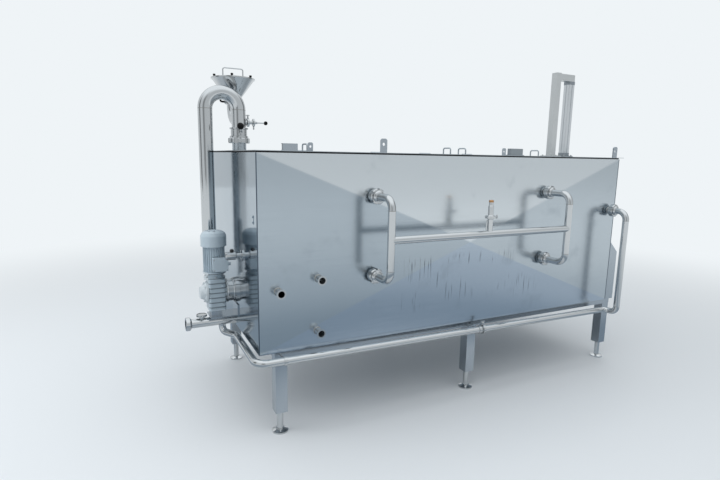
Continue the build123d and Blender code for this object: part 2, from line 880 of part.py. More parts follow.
def pipe_clips():
    """Clips that hold the circulation line to the legs."""
    clips = []
    face = -leg_y - leg_size / 2
    for x in leg_places[:2]:
        z = line_z(x)
        inner = line_od / 2 + weld_gap
        start = Vector(x, line_front_y, z) - Vector(*line_way()) * (clip_width / 2)
        band = ring(tuple(start), line_way(), clip_width, inner + clip_wall, inner)
        stem = rod((x, line_front_y + inner + 1, z), (0, 1, 0), face - line_front_y - inner - 1, 5.0)
        clips.append(band + stem)
    return clips


def suction_sleeve():
    """Short sleeve between the inner tank and the pump."""
    return ring((left, motor_y, pump_z), (1, 0, 0), liner_gap_end, suction_radius,
                suction_radius - sheet)


def pump_casing():
    """Round pump casing with its wall flange and an outlet boss at the back."""
    axis = (pump_left, motor_y, pump_z)
    outside = rod(axis, (1, 0, 0), pump_depth, pump_radius)
    outside += rod((left - pump_flange, motor_y, pump_z), (1, 0, 0), pump_flange, pump_flange_radius)
    boss = (discharge_x, motor_y, pump_z)
    outside += rod(boss, (0, 1, 0), pump_radius + 12, line_od / 2 + 4)
    inside = rod((pump_left + pump_back_wall, motor_y, pump_z), (1, 0, 0),
                 pump_depth - pump_flange - pump_back_wall, pump_cavity_radius)
    inside += rod((left - pump_flange - 1, motor_y, pump_z), (1, 0, 0), pump_flange + 1,
                  suction_radius - sheet)
    inside += rod(boss, (0, 1, 0), pump_radius + 12, line_od / 2 - line_wall)
    inside += rod(axis, (1, 0, 0), pump_back_wall, pump_shaft_radius + shaft_clearance)
    return outside - inside


def around(start, way, radius, count, phase=0.0):
    """Evenly spaced places on a circle."""
    plane = Plane(origin=start, z_dir=way)
    return [tuple(plane.from_local_coords((radius * cos(angle), radius * sin(angle), 0)))
            for angle in (radians(phase + 360 * index / count) for index in range(count))]


def hex_heads(places, way, across, height):
    """Hexagon bolt heads."""
    return [extrude(Plane(origin=place, z_dir=way) * RegularPolygon(across / 2, 6, major_radius=False),
                    amount=height) for place in places]


def pump_bolts():
    """Bolt heads on the pump's wall flange."""
    radius = (pump_flange_radius + pump_radius) / 2
    places = around((left - pump_flange, motor_y, pump_z), (-1, 0, 0), radius, 8, 22.5)
    return [rod(place, (-1, 0, 0), 5, 3.6) for place in places]


def pump_rotor():
    """Hub with straight vanes, on the output shaft's end."""
    room_low = pump_left + pump_back_wall
    depth = pump_depth - pump_flange - pump_back_wall
    low = room_low + 2
    reach = pump_cavity_radius - 2
    rotor = rod((low, motor_y, pump_z), (1, 0, 0), depth - 4, 22)
    for index in range(pump_vanes):
        vane = block((low, low + depth - 4), (-4, 4), (0, reach))
        rotor = rotor + Pos(0, motor_y, pump_z) * Rot(index * 360 / pump_vanes, 0, 0) * vane
    hole = rod((low - 1, motor_y, pump_z), (1, 0, 0), depth - 6, pump_shaft_radius)
    return rotor - hole


def output_shaft():
    """Level shaft from the bevel gear to the pump."""
    low = gearbox_left + gearbox_wall + 2
    high = pump_left + pump_back_wall + 2 + pump_depth - pump_flange - pump_back_wall - 8
    return rod((low, motor_y, pump_z), (1, 0, 0), high - low, pump_shaft_radius)


def bevel_angles():
    """Half angles of the pinion and gear cones for a three to one bevel pair."""
    pinion = atan2(1, 3)
    return pinion, pi / 2 - pinion


def bevel_cone_piece(start, way, angle, bore, gap):
    """Short cone of one bevel wheel, with a hub behind it."""
    far = bevel_cone - gap
    near = far - bevel_face
    outline = [(bore, near * cos(angle)), (near * sin(angle), near * cos(angle)),
               (far * sin(angle), far * cos(angle)), (far * sin(angle) - 1, far * cos(angle) + 3),
               (bore, far * cos(angle) + 3)]
    return turned(start, way, outline)


def bevel_gear():
    """Large bevel wheel on the output shaft."""
    angle = bevel_angles()[1]
    hub = ring((motor_x + bevel_cone * cos(angle), motor_y, pump_z), (1, 0, 0), 20, 24, pump_shaft_radius)
    return bevel_cone_piece((motor_x, motor_y, pump_z), (1, 0, 0), angle, pump_shaft_radius, 0) + hub


def bevel_pinion():
    """Small bevel wheel on the motor's shaft."""
    return bevel_cone_piece((motor_x, motor_y, pump_z + bevel_gap), (0, 0, 1), bevel_angles()[0],
                            pinion_shaft_radius, bevel_gap)


def gearbox():
    """Ribbed gear housing, hollow, with shaft bores and a round opening at the left."""
    half = gearbox_width / 2
    low, high = gearbox_low, gearbox_high
    body = block((gearbox_left, gearbox_right), (motor_y - half + gearbox_rib, motor_y + half - gearbox_rib),
                 (low, high))
    body = fillet(body.edges().filter_by(Axis.Z), 14)
    pitch = (high - low - 40) / (gearbox_rib_count - 1)
    for index in range(gearbox_rib_count):
        z = low + 20 + index * pitch
        rib = block((gearbox_left + 10, gearbox_right - 10), (motor_y - half, motor_y + half),
                    (z - 3, z + 3))
        body = body + rib
    nose = rod((gearbox_right - 1, motor_y, pump_z), (1, 0, 0), pump_left - gearbox_right + 1, 50)
    body = body + nose
    inner_half = half - gearbox_rib - gearbox_wall
    room = block((gearbox_left + gearbox_wall, gearbox_right - gearbox_wall),
                 (motor_y - inner_half, motor_y + inner_half), (low + gearbox_wall, high - gearbox_wall))
    side = rod((gearbox_left - 1, motor_y, pump_z), (1, 0, 0), gearbox_wall + 2, 44)
    top = rod((motor_x, motor_y, high - gearbox_wall - 1), (0, 0, 1), gearbox_wall + 2, 30)
    out = rod((gearbox_right - gearbox_wall - 1, motor_y, pump_z), (1, 0, 0),
              pump_left - gearbox_right + gearbox_wall + 2, pump_shaft_radius + shaft_clearance)
    return cut(body, [room, side, top, out])


def gearbox_cover():
    """Round cover on the gearbox's left side with a raised middle and bolt heads."""
    outline = [(0, 4), (42, 4), (42, 0), (cover_radius, 0), (cover_radius, 12), (cover_radius - 4, 16),
               (cover_radius - 16, 18), (36, cover_depth - 4), (32, cover_depth), (0, cover_depth)]
    cover = turned((gearbox_left, motor_y, pump_z), (-1, 0, 0), outline)
    places = around((gearbox_left - 15, motor_y, pump_z), (-1, 0, 0), cover_radius - 7, 8)
    for head in hex_heads(places, (-1, 0, 0), 10, 6):
        cover = cover + head
    return cover


def motor_flange():
    """Stepped round adapter between the gearbox and the motor, with the shaft's bearing bore."""
    length = motor_low - gearbox_high
    bore = motor_shaft_radius + shaft_clearance
    outline = [(bore, 0), (adapter_radius, 0), (adapter_radius, adapter_foot),
               (adapter_waist, adapter_foot + 4), (adapter_waist, length - motor_flange_height - 4),
               (motor_flange_radius, length - motor_flange_height), (motor_flange_radius, length),
               (bore, length)]
    return turned((motor_x, motor_y, gearbox_high), (0, 0, 1), outline)


def motor_housing():
    """Motor case with cooling fins along its length."""
    height = motor_high - motor_low
    case = ring((motor_x, motor_y, motor_low), (0, 0, 1), height, motor_core_radius, motor_bore_radius)
    for index in range(motor_fins):
        fin = block((motor_core_radius - 1, motor_radius), (-motor_fin / 2, motor_fin / 2), (0, height))
        case = case + Pos(motor_x, motor_y, motor_low) * Rot(0, 0, index * 360 / motor_fins) * fin
    return case


def motor_stator():
    """Wound stator ring pressed into the case."""
    return ring((motor_x, motor_y, motor_low + rotor_inset), (0, 0, 1),
                motor_high - motor_low - 2 * rotor_inset, motor_bore_radius, rotor_radius + 1)


def motor_shaft():
    """Motor shaft with its rotor, stepped down to the bevel pinion."""
    low = pump_z + bevel_cone * cos(bevel_angles()[0]) - bevel_face
    rotor_low = motor_low + rotor_inset
    rotor_high = motor_high - rotor_inset
    step = gearbox_high - shaft_step_depth
    top = motor_high + shaft_above_motor
    outline = [(0, low), (pinion_shaft_radius, low), (pinion_shaft_radius, step),
               (motor_shaft_radius, step), (motor_shaft_radius, rotor_low), (rotor_radius, rotor_low),
               (rotor_radius, rotor_high), (motor_shaft_radius, rotor_high), (motor_shaft_radius, top),
               (0, top)]
    return turned((motor_x, motor_y, 0), (0, 0, 1), outline)


def motor_fan():
    """Cooling fan on the shaft's upper end, under its cover."""
    low = motor_high + 10
    fan = ring((motor_x, motor_y, low), (0, 0, 1), 20, 22, motor_shaft_radius)
    for index in range(7):
        blade = block((20, 60), (-1.5, 1.5), (0, 20))
        fan = fan + Pos(motor_x, motor_y, low) * Rot(0, 0, index * 360 / 7) * blade
    return fan


def fan_cover():
    """Domed fan cover with ring slots in its top."""
    height = fan_cover_top - motor_high
    radius = fan_cover_radius
    wall = fan_cover_wall
    inner = radius - wall
    outline = [(radius, 0), (radius, height - 30), (radius - 8, height - 14), (radius - 24, height - 4),
               (20, height), (0, height), (0, height - wall), (20, height - wall),
               (radius - 25, height - wall - 4), (inner - 8, height - wall - 14), (inner, height - 31),
               (inner, wall), (motor_core_radius + weld_gap, wall), (motor_core_radius + weld_gap, 0)]
    cover = turned((motor_x, motor_y, motor_high), (0, 0, 1), outline)
    for index in range(8):
        slot = block((26, 42), (-4, 4), (0, 60))
        cover = cover - Pos(motor_x, motor_y, fan_cover_top - 30) * Rot(0, 0, index * 45) * slot
    return cover


def terminal_box():
    """Terminal box on the front of the motor, with its cable gland."""
    x = (motor_x - terminal_left, motor_x + terminal_right)
    y = (motor_y - motor_radius - terminal_reach, motor_y - motor_core_radius + 1)
    height = terminal_high - terminal_low
    body = block(x, y, (terminal_low, terminal_high))
    body = fillet(body.edges().filter_by(Axis.Y), 6)
    body = body - rod((motor_x, motor_y, terminal_low - 1), (0, 0, 1), height + 2,
                      motor_radius + weld_gap)
    lid_plate = block((x[0] - terminal_lip, x[1] + terminal_lip), (y[0] - terminal_lid, y[0]),
                      (terminal_low - terminal_lip, terminal_high + terminal_lip))
    outline = [(0, 0), (gland_radius, 0), (gland_radius, gland_length * 0.4),
               (gland_radius * 0.75, gland_length * 0.5), (gland_radius * 0.75, gland_length),
               (0, gland_length)]
    gland = turned((x[1], y[0] + gland_radius + 8, (terminal_low + terminal_high) / 2), (1, 0, 0), outline)
    return body + lid_plate + gland


def gearbox_bracket():
    """Bent bracket on the end wall under the gearbox."""
    y = (motor_y - 65, motor_y + 65)
    shelf = block((gearbox_left + 4, left), y, (bracket_top - bracket_thickness, bracket_top))
    wall_low = outlet_z + outlet_od / 2 + 2
    wall = block((left - bracket_thickness, left), y, (wall_low, bracket_top + 60))
    wall = wall - rod((left - bracket_thickness - 1, motor_y, pump_z), (1, 0, 0), bracket_thickness + 2,
                      pump_flange_radius + 2)
    return shelf + wall


def gearbox_foot():
    """Dark block between the bracket and the gearbox."""
    return block((motor_x - 30, motor_x + 30), (motor_y - 40, motor_y + 40), (bracket_top, gearbox_low))


def discharge_pipe():
    """Pipe from the pump's back to the foot of the return pipe, with a reducer."""
    start_y = motor_y + pump_radius + 12
    route = [(discharge_x, start_y, pump_z), (discharge_x, return_y - 120, pump_z),
             (return_left_x, return_y, pump_z), (return_left_x, return_y, return_low - reducer_height)]
    tube = pipe(route, line_bend - 1.5, line_od, line_wall)
    narrow = line_od / 2
    wide = product_od / 2
    reducer = turned((return_left_x, return_y, return_low - reducer_height), (0, 0, 1),
                     [(narrow - line_wall, 0), (narrow, 0), (wide, reducer_height),
                      (wide - product_wall, reducer_height)])
    return tube + reducer


def return_route():
    """Centre line of the return pipe: up, over in a half circle and down."""
    middle = (return_left_x + return_right_x) / 2
    spring_line = return_top - return_bend
    up = Line((return_left_x, return_y, return_low), (return_left_x, return_y, spring_line))
    over = ThreePointArc((return_left_x, return_y, spring_line), (middle, return_y, return_top),
                         (return_right_x, return_y, spring_line))
    down = Line((return_right_x, return_y, spring_line), (return_right_x, return_y, valve_high))
    return Wire([up, over, down])


def return_core(radius):
    """Bar along the return pipe's centre line."""
    path = return_route()
    start = Plane(origin=(return_left_x, return_y, return_low), z_dir=(0, 0, 1))
    return sweep(start * Circle(radius), path=path)


def hopper_branch(radius):
    """Bar along the branch from the hopper's valve into the return pipe."""
    route = [(return_right_x, hopper_y, hopper_valve_low), (return_right_x, hopper_y, hopper_branch_z),
             (return_right_x, return_y, hopper_branch_z)]
    return core(route, hopper_bend, radius)


def return_pipe():
    """Large return pipe with the hopper's branch and the sampler's stub welded in."""
    outer = product_od / 2
    inner = outer - product_wall
    stub = (return_right_x, return_y, sampler_z)
    length = outer + 14
    outside = return_core(outer) + hopper_branch(outer - tee_step) + rod(stub, (1, 0, 0), length,
                                                              sampler_stub_od / 2)
    outside += rod((return_right_x + length - 3, return_y, sampler_z), (1, 0, 0), 3, 22)
    inside = return_core(inner) + hopper_branch(inner - tee_step)
    inside += rod(stub, (1, 0, 0), length, sampler_stub_od / 2 - line_wall)
    return outside - inside


def deck_nozzle():
    """Welded nozzle through the deck under the return pipe."""
    low = deck_under - nozzle_depth
    return ring((*return_axis, low), (0, 0, 1), nozzle_top - low, product_od / 2, valve_bore)


def return_nut():
    """Large union nut on the nozzle."""
    return notched_nut((*return_axis, big_nut_low), (0, 0, 1), big_nut_high - big_nut_low, big_nut_od,
                       product_od / 2 + weld_gap)


def butterfly_body(axis, low, high, od, waist, spigot, stem_way):
    """Valve body: two flanges with a waist, a bored seat and a boss for the stem."""
    height = high - low
    low_end = [(valve_bore, -spigot), (product_od / 2, -spigot), (product_od / 2, 0)]
    outline = low_end if spigot else [(valve_bore, 0)]
    outline += [(od / 2, 0), (od / 2, 9), (waist / 2, 11), (waist / 2, height - 11), (od / 2, height - 9),
                (od / 2, height), (valve_bore, height)]
    body = turned((*axis, low), (0, 0, 1), outline)
    centre = (*axis, (low + high) / 2)
    boss = rod(centre, stem_way, od / 2 + 6, 11)
    body = body + (boss - rod((*axis, low), (0, 0, 1), height, valve_bore))
    return body - rod(centre, stem_way, od, stem_radius + stem_clearance)


def butterfly_disc(axis, z, stem_way, reach):
    """Closed valve disc with its stem."""
    disc = rod((*axis, z - valve_disc_thickness / 2), (0, 0, 1), valve_disc_thickness,
               valve_bore - disc_clearance)
    return disc + rod((*axis, z), stem_way, reach, stem_radius)


def limb_valve_z():
    """Middle of the return pipe's valve."""
    return (valve_low + valve_high) / 2


def limb_valve_body():
    """Body of the valve in the return pipe."""
    return butterfly_body(return_axis, valve_low, valve_high, valve_od, valve_waist_od,
                          valve_low - nozzle_top, (0, -1, 0))


def limb_valve_disc():
    """Disc and stem of the valve in the return pipe."""
    return butterfly_disc(return_axis, limb_valve_z(), (0, -1, 0), valve_od / 2 + 10)


def limb_valve_lever():
    """Inclined lever on the stem's end."""
    end_y = return_y - valve_od / 2 - 10
    hub_length = 16.0
    hub = rod((return_right_x, end_y, limb_valve_z()), (0, -1, 0), hub_length, 11)
    start = Vector(return_right_x, end_y - hub_length + 5, limb_valve_z())
    way = limb_knob_centre() - start
    return hub + rod(tuple(start), tuple(way.normalized()), way.length, lever_rod_radius)


def limb_knob_centre():
    """Centre of the lever's ball knob."""
    return Vector(return_right_x, return_y, limb_valve_z()) + Vector(*knob_shift)


def limb_valve_knob():
    """Black ball knob on the lever."""
    return Pos(*limb_knob_centre()) * Sphere(knob_radius) - limb_valve_lever()


def sampler_body():
    """Small sampling valve: clamp, body and a second clamp, all on one level axis."""
    start = return_right_x + product_od / 2 + 14
    outline = [(0, 0), (22, 0), (22, 3), (11, 7), (11, 30), (20, 32), (20, 40), (8, 42), (8, 50),
               (4.06, 50), (4.06, 20), (0, 20)]
    return turned((start, return_y, sampler_z), (1, 0, 0), outline)


def sampler_clamps():
    """Two pipe clamps of the sampling valve."""
    start = return_right_x + product_od / 2 + 14
    return [clamp_band((start - 6, return_y, sampler_z), (1, 0, 0), 12, 27, 22 + weld_gap, (0, 0, 1)),
            clamp_band((start + 31, return_y, sampler_z), (1, 0, 0), 10, 24, 20 + weld_gap, (0, 0, -1))]


def sampler_spindle():
    """Thin spindle of the sampling valve, with a collar."""
    start = return_right_x + product_od / 2 + 14 + 22
    return rod((start, return_y, sampler_z), (1, 0, 0), sampler_knob_x - start, 4.0) + rod(
        (start + 30, return_y, sampler_z), (1, 0, 0), 6, 8)


def sampler_knob():
    """Small black ball knob on the spindle."""
    return Pos(sampler_knob_x, return_y, sampler_z) * Sphere(sampler_knob_radius) - sampler_spindle()


def hopper():
    """Conical hopper with a rim flange and a lower ferrule."""
    height = hopper_rim_z - hopper_tip_z
    neck = hopper_tip_z - hopper_valve_top()
    tip = product_od / 2
    wall = hopper_wall
    outline = [(tip - wall, -neck), (hopper_valve_od / 2, -neck), (hopper_valve_od / 2, -neck + 4),
               (tip, 0), (hopper_rim_radius, height - 4), (hopper_rim_radius + hopper_flange, height - 4),
               (hopper_rim_radius + hopper_flange, height), (hopper_rim_radius - wall, height), (tip - wall, 0)]
    return turned((return_right_x, hopper_y, hopper_tip_z), (0, 0, 1), outline)


def hopper_valve_top():
    """Upper face of the hopper's valve."""
    return hopper_tip_z - 5.0


def hopper_axis():
    """Place of the hopper's upright axis."""
    return (return_right_x, hopper_y)


def hopper_valve_body():
    """Body of the valve under the hopper."""
    return butterfly_body(hopper_axis(), hopper_valve_low, hopper_valve_top(), hopper_valve_od,
                          hopper_valve_od - 10, 0, (-1, 0, 0))


def hopper_valve_disc():
    """Disc and stem of the hopper's valve."""
    return butterfly_disc(hopper_axis(), (hopper_valve_low + hopper_valve_top()) / 2, (-1, 0, 0),
                          hopper_valve_od / 2 + 8)


def hopper_valve_lever():
    """Black lever of the hopper's valve, turned up at its end."""
    z = (hopper_valve_low + hopper_valve_top()) / 2
    start = return_right_x - hopper_valve_od / 2 - 8
    end = start - 22
    route = [(start, hopper_y, z), (end, hopper_y, z), (end, hopper_y, z + 42)]
    return core(route, 9.0, 6.0)


def hopper_lid():
    """Flat round lid with a bail handle of bent bar."""
    radius = hopper_rim_radius + hopper_flange
    plate = turned((return_right_x, hopper_y, hopper_rim_z), (0, 0, 1),
                   [(0, 0), (radius, 0), (radius, 3), (radius - 12, 5), (0, 5)])
    half = bail_width / 2
    top = hopper_rim_z + 5
    bail = bow((return_right_x - half, hopper_y, top), (return_right_x + half, hopper_y, top),
               bail_height, bar_radius)
    return plate + bail


def hopper_screws():
    """Black thumb screws round the lid's edge."""
    radius = hopper_rim_radius - 4
    places = around((return_right_x, hopper_y, hopper_rim_z + 5), (0, 0, 1), radius, hopper_knobs, 15)
    return [turned(place, (0, 0, 1), [(0, 0), (5, 0), (8, 3), (8, 11), (6, 13), (0, 13)])
            for place in places]


def lifting_lugs():
    """Four upright lifting plates with a round eye."""
    lugs = []
    half = lug_width / 2
    for x in lug_places:
        for y in (-lug_y, lug_y):
            top = tank_top + lug_height
            outline = [(x - half, tank_top), (x + half, tank_top), (x + half, top - lug_corner),
                       (x + half - lug_corner, top), (x - half + lug_corner, top),
                       (x - half, top - lug_corner)]
            plate = prism(outline, "y", y - lug_thickness / 2, y + lug_thickness / 2)
            eye = rod((x, y - lug_thickness, top - lug_hole_drop), (0, 1, 0), 2 * lug_thickness,
                      lug_hole_radius)
            lugs.append(plate - eye)
    return lugs


def front_bracket():
    """Channel bracket on the front rim."""
    x = (bracket_x - bracket_half, bracket_x + bracket_half)
    y = (front + rim_inset, front + rim_inset + rim_piece_depth)
    channel = block(x, y, (tank_top, tank_top + bracket_height))
    return channel - block((x[0] - 1, x[1] + 1), (y[0] + sheet, y[1] + 1),
                           (tank_top + sheet, tank_top + bracket_height - sheet))


def front_sensor():
    """Sensor block in the left end of the channel bracket."""
    y = front + rim_inset
    return block((bracket_x - bracket_half + 2, bracket_x - bracket_half / 2),
                 (y + sheet, y + rim_piece_depth - 4),
                 (tank_top + sheet, tank_top + bracket_height - sheet))


def lid_switch():
    """Safety switch of the right lid on the front rim."""
    x = (switch_x - switch_length / 2, switch_x + switch_length / 2)
    y = (front + rim_inset, front + rim_inset + rim_piece_depth)
    seat = tank_top + switch_foot
    body = block(x, y, (seat, seat + switch_height))
    body = fillet(body.edges().filter_by(Axis.Z), 5)
    plate = block((x[0] - 6, x[1] + 6), (y[0] - 3, y[1] + 5), (tank_top, seat))
    return body + plate


def deck_plate(x, y, half, thickness):
    """Square foot plate on the deck."""
    return block((x - half, x + half), (y - half, y + half), (tank_top, tank_top + thickness))


def mast():
    """Square tube mast on a foot plate, closed by a cap."""
    half = mast_size / 2
    inner = half - mast_wall
    tube = block((mast_x - half, mast_x + half), (mast_y - half, mast_y + half),
                 (tank_top + mast_foot, mast_top))
    room = block((mast_x - inner, mast_x + inner), (mast_y - inner, mast_y + inner),
                 (tank_top, mast_top - mast_wall))
    return (tube - room) + (deck_plate(mast_x, mast_y, mast_foot_half, mast_foot) - room)


def mast_bracket():
    """Block that ties the head of the air cylinder to the mast."""
    low = cylinder_high + cylinder_cap
    return block((mast_x + mast_size / 2, cylinder_x + cylinder_size / 2),
                 (mast_y - mast_size / 2, mast_y + mast_size / 2), (low, low + 46))


def cylinder_barrel():
    """Square profile barrel of the air cylinder with grooves in its faces."""
    half = cylinder_size / 2
    x = (cylinder_x - half, cylinder_x + half)
    y = (mast_y - half, mast_y + half)
    barrel = block(x, y, (cylinder_low, cylinder_high))
    barrel = fillet(barrel.edges().filter_by(Axis.Z), 4)
    bore = rod((cylinder_x, mast_y, cylinder_low - 1), (0, 0, 1), cylinder_high - cylinder_low + 2,
               cylinder_bore_radius)
    grooves = []
    for shift_x, shift_y in ((half, 0), (-half, 0), (0, half), (0, -half)):
        centre = (cylinder_x + shift_x, mast_y + shift_y)
        grooves.append(block((centre[0] - 3, centre[0] + 3), (centre[1] - 3, centre[1] + 3),
                             (cylinder_low - 1, cylinder_high + 1)))
    return cut(barrel - bore, grooves)


def cylinder_caps():
    """Upper and lower end caps of the air cylinder; the rod runs in the lower one."""
    half = cylinder_size / 2
    x = (cylinder_x - half, cylinder_x + half)
    y = (mast_y - half, mast_y + half)
    upper = block(x, y, (cylinder_high, cylinder_high + cylinder_cap))
    lower = block(x, y, (cylinder_low - cylinder_cap, cylinder_low))
    lower = lower - rod((cylinder_x, mast_y, cylinder_low - cylinder_cap - 1), (0, 0, 1),
                        cylinder_cap + 2, rod_radius + rod_clearance)
    return [upper, lower]


def cylinder_foot():
    """Foot plate of the air cylinder on the deck, with the rod's gland."""
    plate = deck_plate(cylinder_x, mast_y, cylinder_foot_half, cylinder_low - cylinder_cap - tank_top)
    return plate - rod((cylinder_x, mast_y, tank_top - 1), (0, 0, 1), cylinder_low - tank_top,
                       rod_radius + rod_clearance)


def air_fittings():
    """Push-in elbows at both ends of the air cylinder."""
    pieces = []
    for z in (cylinder_low - cylinder_cap / 2, cylinder_high + cylinder_cap / 2):
        start = (cylinder_x + cylinder_size / 2, mast_y, z)
        neck = rod(start, (1, 0, 0), fitting_neck, fitting_radius - 1)
        turn = rod((start[0] + fitting_neck, mast_y, z - fitting_radius), (0, 0, 1), 2.5 * fitting_radius,
                   fitting_radius)
        pieces.append(neck + turn)
    return pieces


def presser_rod():
    """Piston and long rod of the air cylinder."""
    piston_top = cylinder_high - 15
    low = presser_rest_z
    piston = rod((cylinder_x, mast_y, piston_top - piston_height), (0, 0, 1), piston_height,
                 cylinder_bore_radius - piston_clearance)
    return piston + rod((cylinder_x, mast_y, low), (0, 0, 1), piston_top - low, rod_radius)


def presser_plate():
    """Round plate that presses the butter onto the grid, with its hub."""
    low = presser_rest_z - presser_thickness
    plate = rod((cylinder_x, mast_y, low), (0, 0, 1), presser_thickness, presser_radius)
    hub = ring((cylinder_x, mast_y, presser_rest_z), (0, 0, 1), 30, 22, rod_radius)
    return plate + hub


def grid_headers():
    """Two headers of the melting grid, closed at their ends."""
    pieces = []
    spacing = 2 * grid_half_length / grid_tubes
    for side in (-1, 1):
        y = side * grid_header_y
        header = rod((-grid_half_length, y, manifold_low), (1, 0, 0), 2 * grid_half_length,
                     grid_header_od / 2)
        room = rod((-grid_half_length + 4, y, manifold_low), (1, 0, 0), 2 * grid_half_length - 8,
                   grid_header_od / 2 - grid_wall)
        holes = [rod((-grid_half_length + spacing * (index + 0.5), y, manifold_low), (0, -side, 0),
                     grid_header_od, grid_tube_od / 2 - grid_wall) for index in range(grid_tubes)]
        if side < 0:
            holes += [rod((x, y, manifold_low), (0, -1, 0), grid_header_od, line_od / 2 - line_wall)
                      for x in (manifold_left_x, manifold_right_x)]
        pieces.append(cut(header - room, holes))
    return pieces


def grid_cross_tubes():
    """Cross tubes of the melting grid, their ends cut to sit on the headers."""
    spacing = 2 * grid_half_length / grid_tubes
    tubes = []
    for index in range(grid_tubes):
        x = -grid_half_length + spacing * (index + 0.5)
        tube = ring((x, -grid_header_y, manifold_low), (0, 1, 0), 2 * grid_header_y, grid_tube_od / 2,
                    grid_tube_od / 2 - grid_wall)
        for side in (-1, 1):
            tube = tube - rod((x - grid_tube_od, side * grid_header_y, manifold_low), (1, 0, 0),
                              2 * grid_tube_od, grid_header_od / 2)
        tubes.append(tube)
    return tubes


def grid_supports():
    """Blocks on the long walls that carry the grid's headers."""
    top = manifold_low - grid_header_od / 2 - weld_gap
    wall = liner_y - sheet
    return [block((x - 20, x + 20), sorted((side * (grid_header_y - 15), side * wall)), (top - 24, top))
            for x in (-1000.0, 0.0, 1000.0) for side in (-1, 1)]


def level_sensor():
    """Level sensor on the left wall: flange, neck and a round head."""
    outline = [(0, 0), (30, 0), (30, 6), (14, 10), (14, 34), (sensor_radius, 40),
               (sensor_radius, sensor_reach - 6), (sensor_radius - 6, sensor_reach), (0, sensor_reach)]
    return turned((left, sensor_y, sensor_z), (-1, 0, 0), outline)


def wall_plate():
    """Small plate with two screw heads on the left wall."""
    face = left - small_plate_thickness
    half_y = small_plate_width / 2
    half_z = small_plate_height / 2
    plate = block((face, left), (small_plate_y - half_y, small_plate_y + half_y),
                  (small_plate_z - half_z, small_plate_z + half_z))
    for z in (small_plate_z - small_screw_step, small_plate_z + small_screw_step):
        plate = plate + rod((face, small_plate_y, z), (-1, 0, 0), 3, small_screw_radius)
    return plate


def write(name, pieces):
    """Move a piece, or a group of alike pieces, to the shared origin and write it."""
    group = pieces if isinstance(pieces, list) else [pieces]
    solids = [solid for piece in group for solid in (shift * piece).solids()]
    export_step(solids[0] if len(solids) == 1 else Compound(children=solids), f"parts/{name}.step")


os.makedirs("parts", exist_ok=True)

nodes = {
    "front_panel": front_panel,
    "rear_panel": lambda: long_panel(1),
    "left_panel": lambda: [left_panel(), wall_plate()],
    "right_panel": lambda: [right_panel(), end_pocket()],
    "bottom_cover": bottom_cover,
    "inner_tank": inner_tank,
    "water_jackets": lambda: [front_jacket(), water_jacket(1)],
    "insulation": insulation,
    "rim_seal": rim_seal,
    "top_deck": lambda: [top_deck(), deck_nozzle()] + lid_ledges(),
    "lid_left": lambda: lid(lid_spans["left"]) + lid_handles(lid_spans["left"]),
    "lid_right": lambda: lid(lid_spans["right"]) + lid_handles(lid_spans["right"]),
    "lid_hinges": lambda: deck_hinges() + hinge_pins(),
    "base_frame": lambda: base_frame() + legs(),
    "front_stubs": lambda: clamp_ports() + union_stubs(),
    "union_nuts": lambda: union_nuts() + [return_nut()],
    "manifold_left": lambda: manifold_limb(manifold_left_x),
    "manifold_right": lambda: manifold_limb(manifold_right_x),
    "manifold_bar": lambda: [manifold_bar(), vent_stub(), drip_tube()],
    "vent_valve": vent_valve,
    "vent_cap": vent_cap,
    "outlet_pipe": lambda: [outlet_pipe(), sample_cap()],
    "circulation_left": circulation_left,
    "circulation_right": circulation_right,
    "pipe_clamps": lambda: [vent_clamp(), sample_clamp(), line_clamp()] + sampler_clamps() + pipe_clips(),
    "pump_casing": lambda: [pump_casing(), suction_sleeve()] + pump_bolts(),
    "pump_rotor": lambda: [pump_rotor(), output_shaft(), bevel_gear()],
    "gearbox": lambda: [gearbox(), gearbox_cover(), motor_flange()],
    "gearbox_bracket": lambda: [gearbox_bracket(), gearbox_foot()],
    "motor_housing": lambda: [motor_housing(), motor_stator()],
    "motor_shaft": lambda: [motor_shaft(), bevel_pinion(), motor_fan()],
    "fan_cover": fan_cover,
    "terminal_box": terminal_box,
    "discharge_pipe": discharge_pipe,
    "return_pipe": return_pipe,
    "limb_valve": limb_valve_body,
    "limb_valve_lever": lambda: limb_valve_disc() + limb_valve_lever(),
    "limb_valve_knob": limb_valve_knob,
    "sampler_valve": sampler_body,
    "sampler_spindle": sampler_spindle,
    "sampler_knob": sampler_knob,
    "hopper": hopper,
    "hopper_valve": hopper_valve_body,
    "hopper_valve_lever": lambda: hopper_valve_disc() + hopper_valve_lever(),
    "hopper_lid": hopper_lid,
    "hopper_screws": hopper_screws,
    "lifting_lugs": lambda: lifting_lugs() + [front_bracket()],
    "lid_switch": lambda: [lid_switch(), front_sensor()],
    "mast": lambda: [mast(), mast_bracket()],
    "cylinder_barrel": cylinder_barrel,
    "cylinder_ends": lambda: cylinder_caps() + [cylinder_foot()] + air_fittings(),
    "presser": lambda: [presser_rod(), presser_plate()],
    "melting_grid": lambda: grid_headers() + grid_cross_tubes() + grid_supports(),
    "level_sensor": level_sensor,
}

for name, make in nodes.items():
    write(name, make())

for place, leg_x in zip(("left", "middle", "right"), leg_places):
    write(f"foot_front_{place}", foot(leg_x, -leg_y))
    write(f"foot_rear_{place}", foot(leg_x, leg_y))
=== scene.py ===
import logging
import math
from dataclasses import dataclass, field
from enum import Enum

import bmesh
import bpy
from mathutils import Matrix, Vector


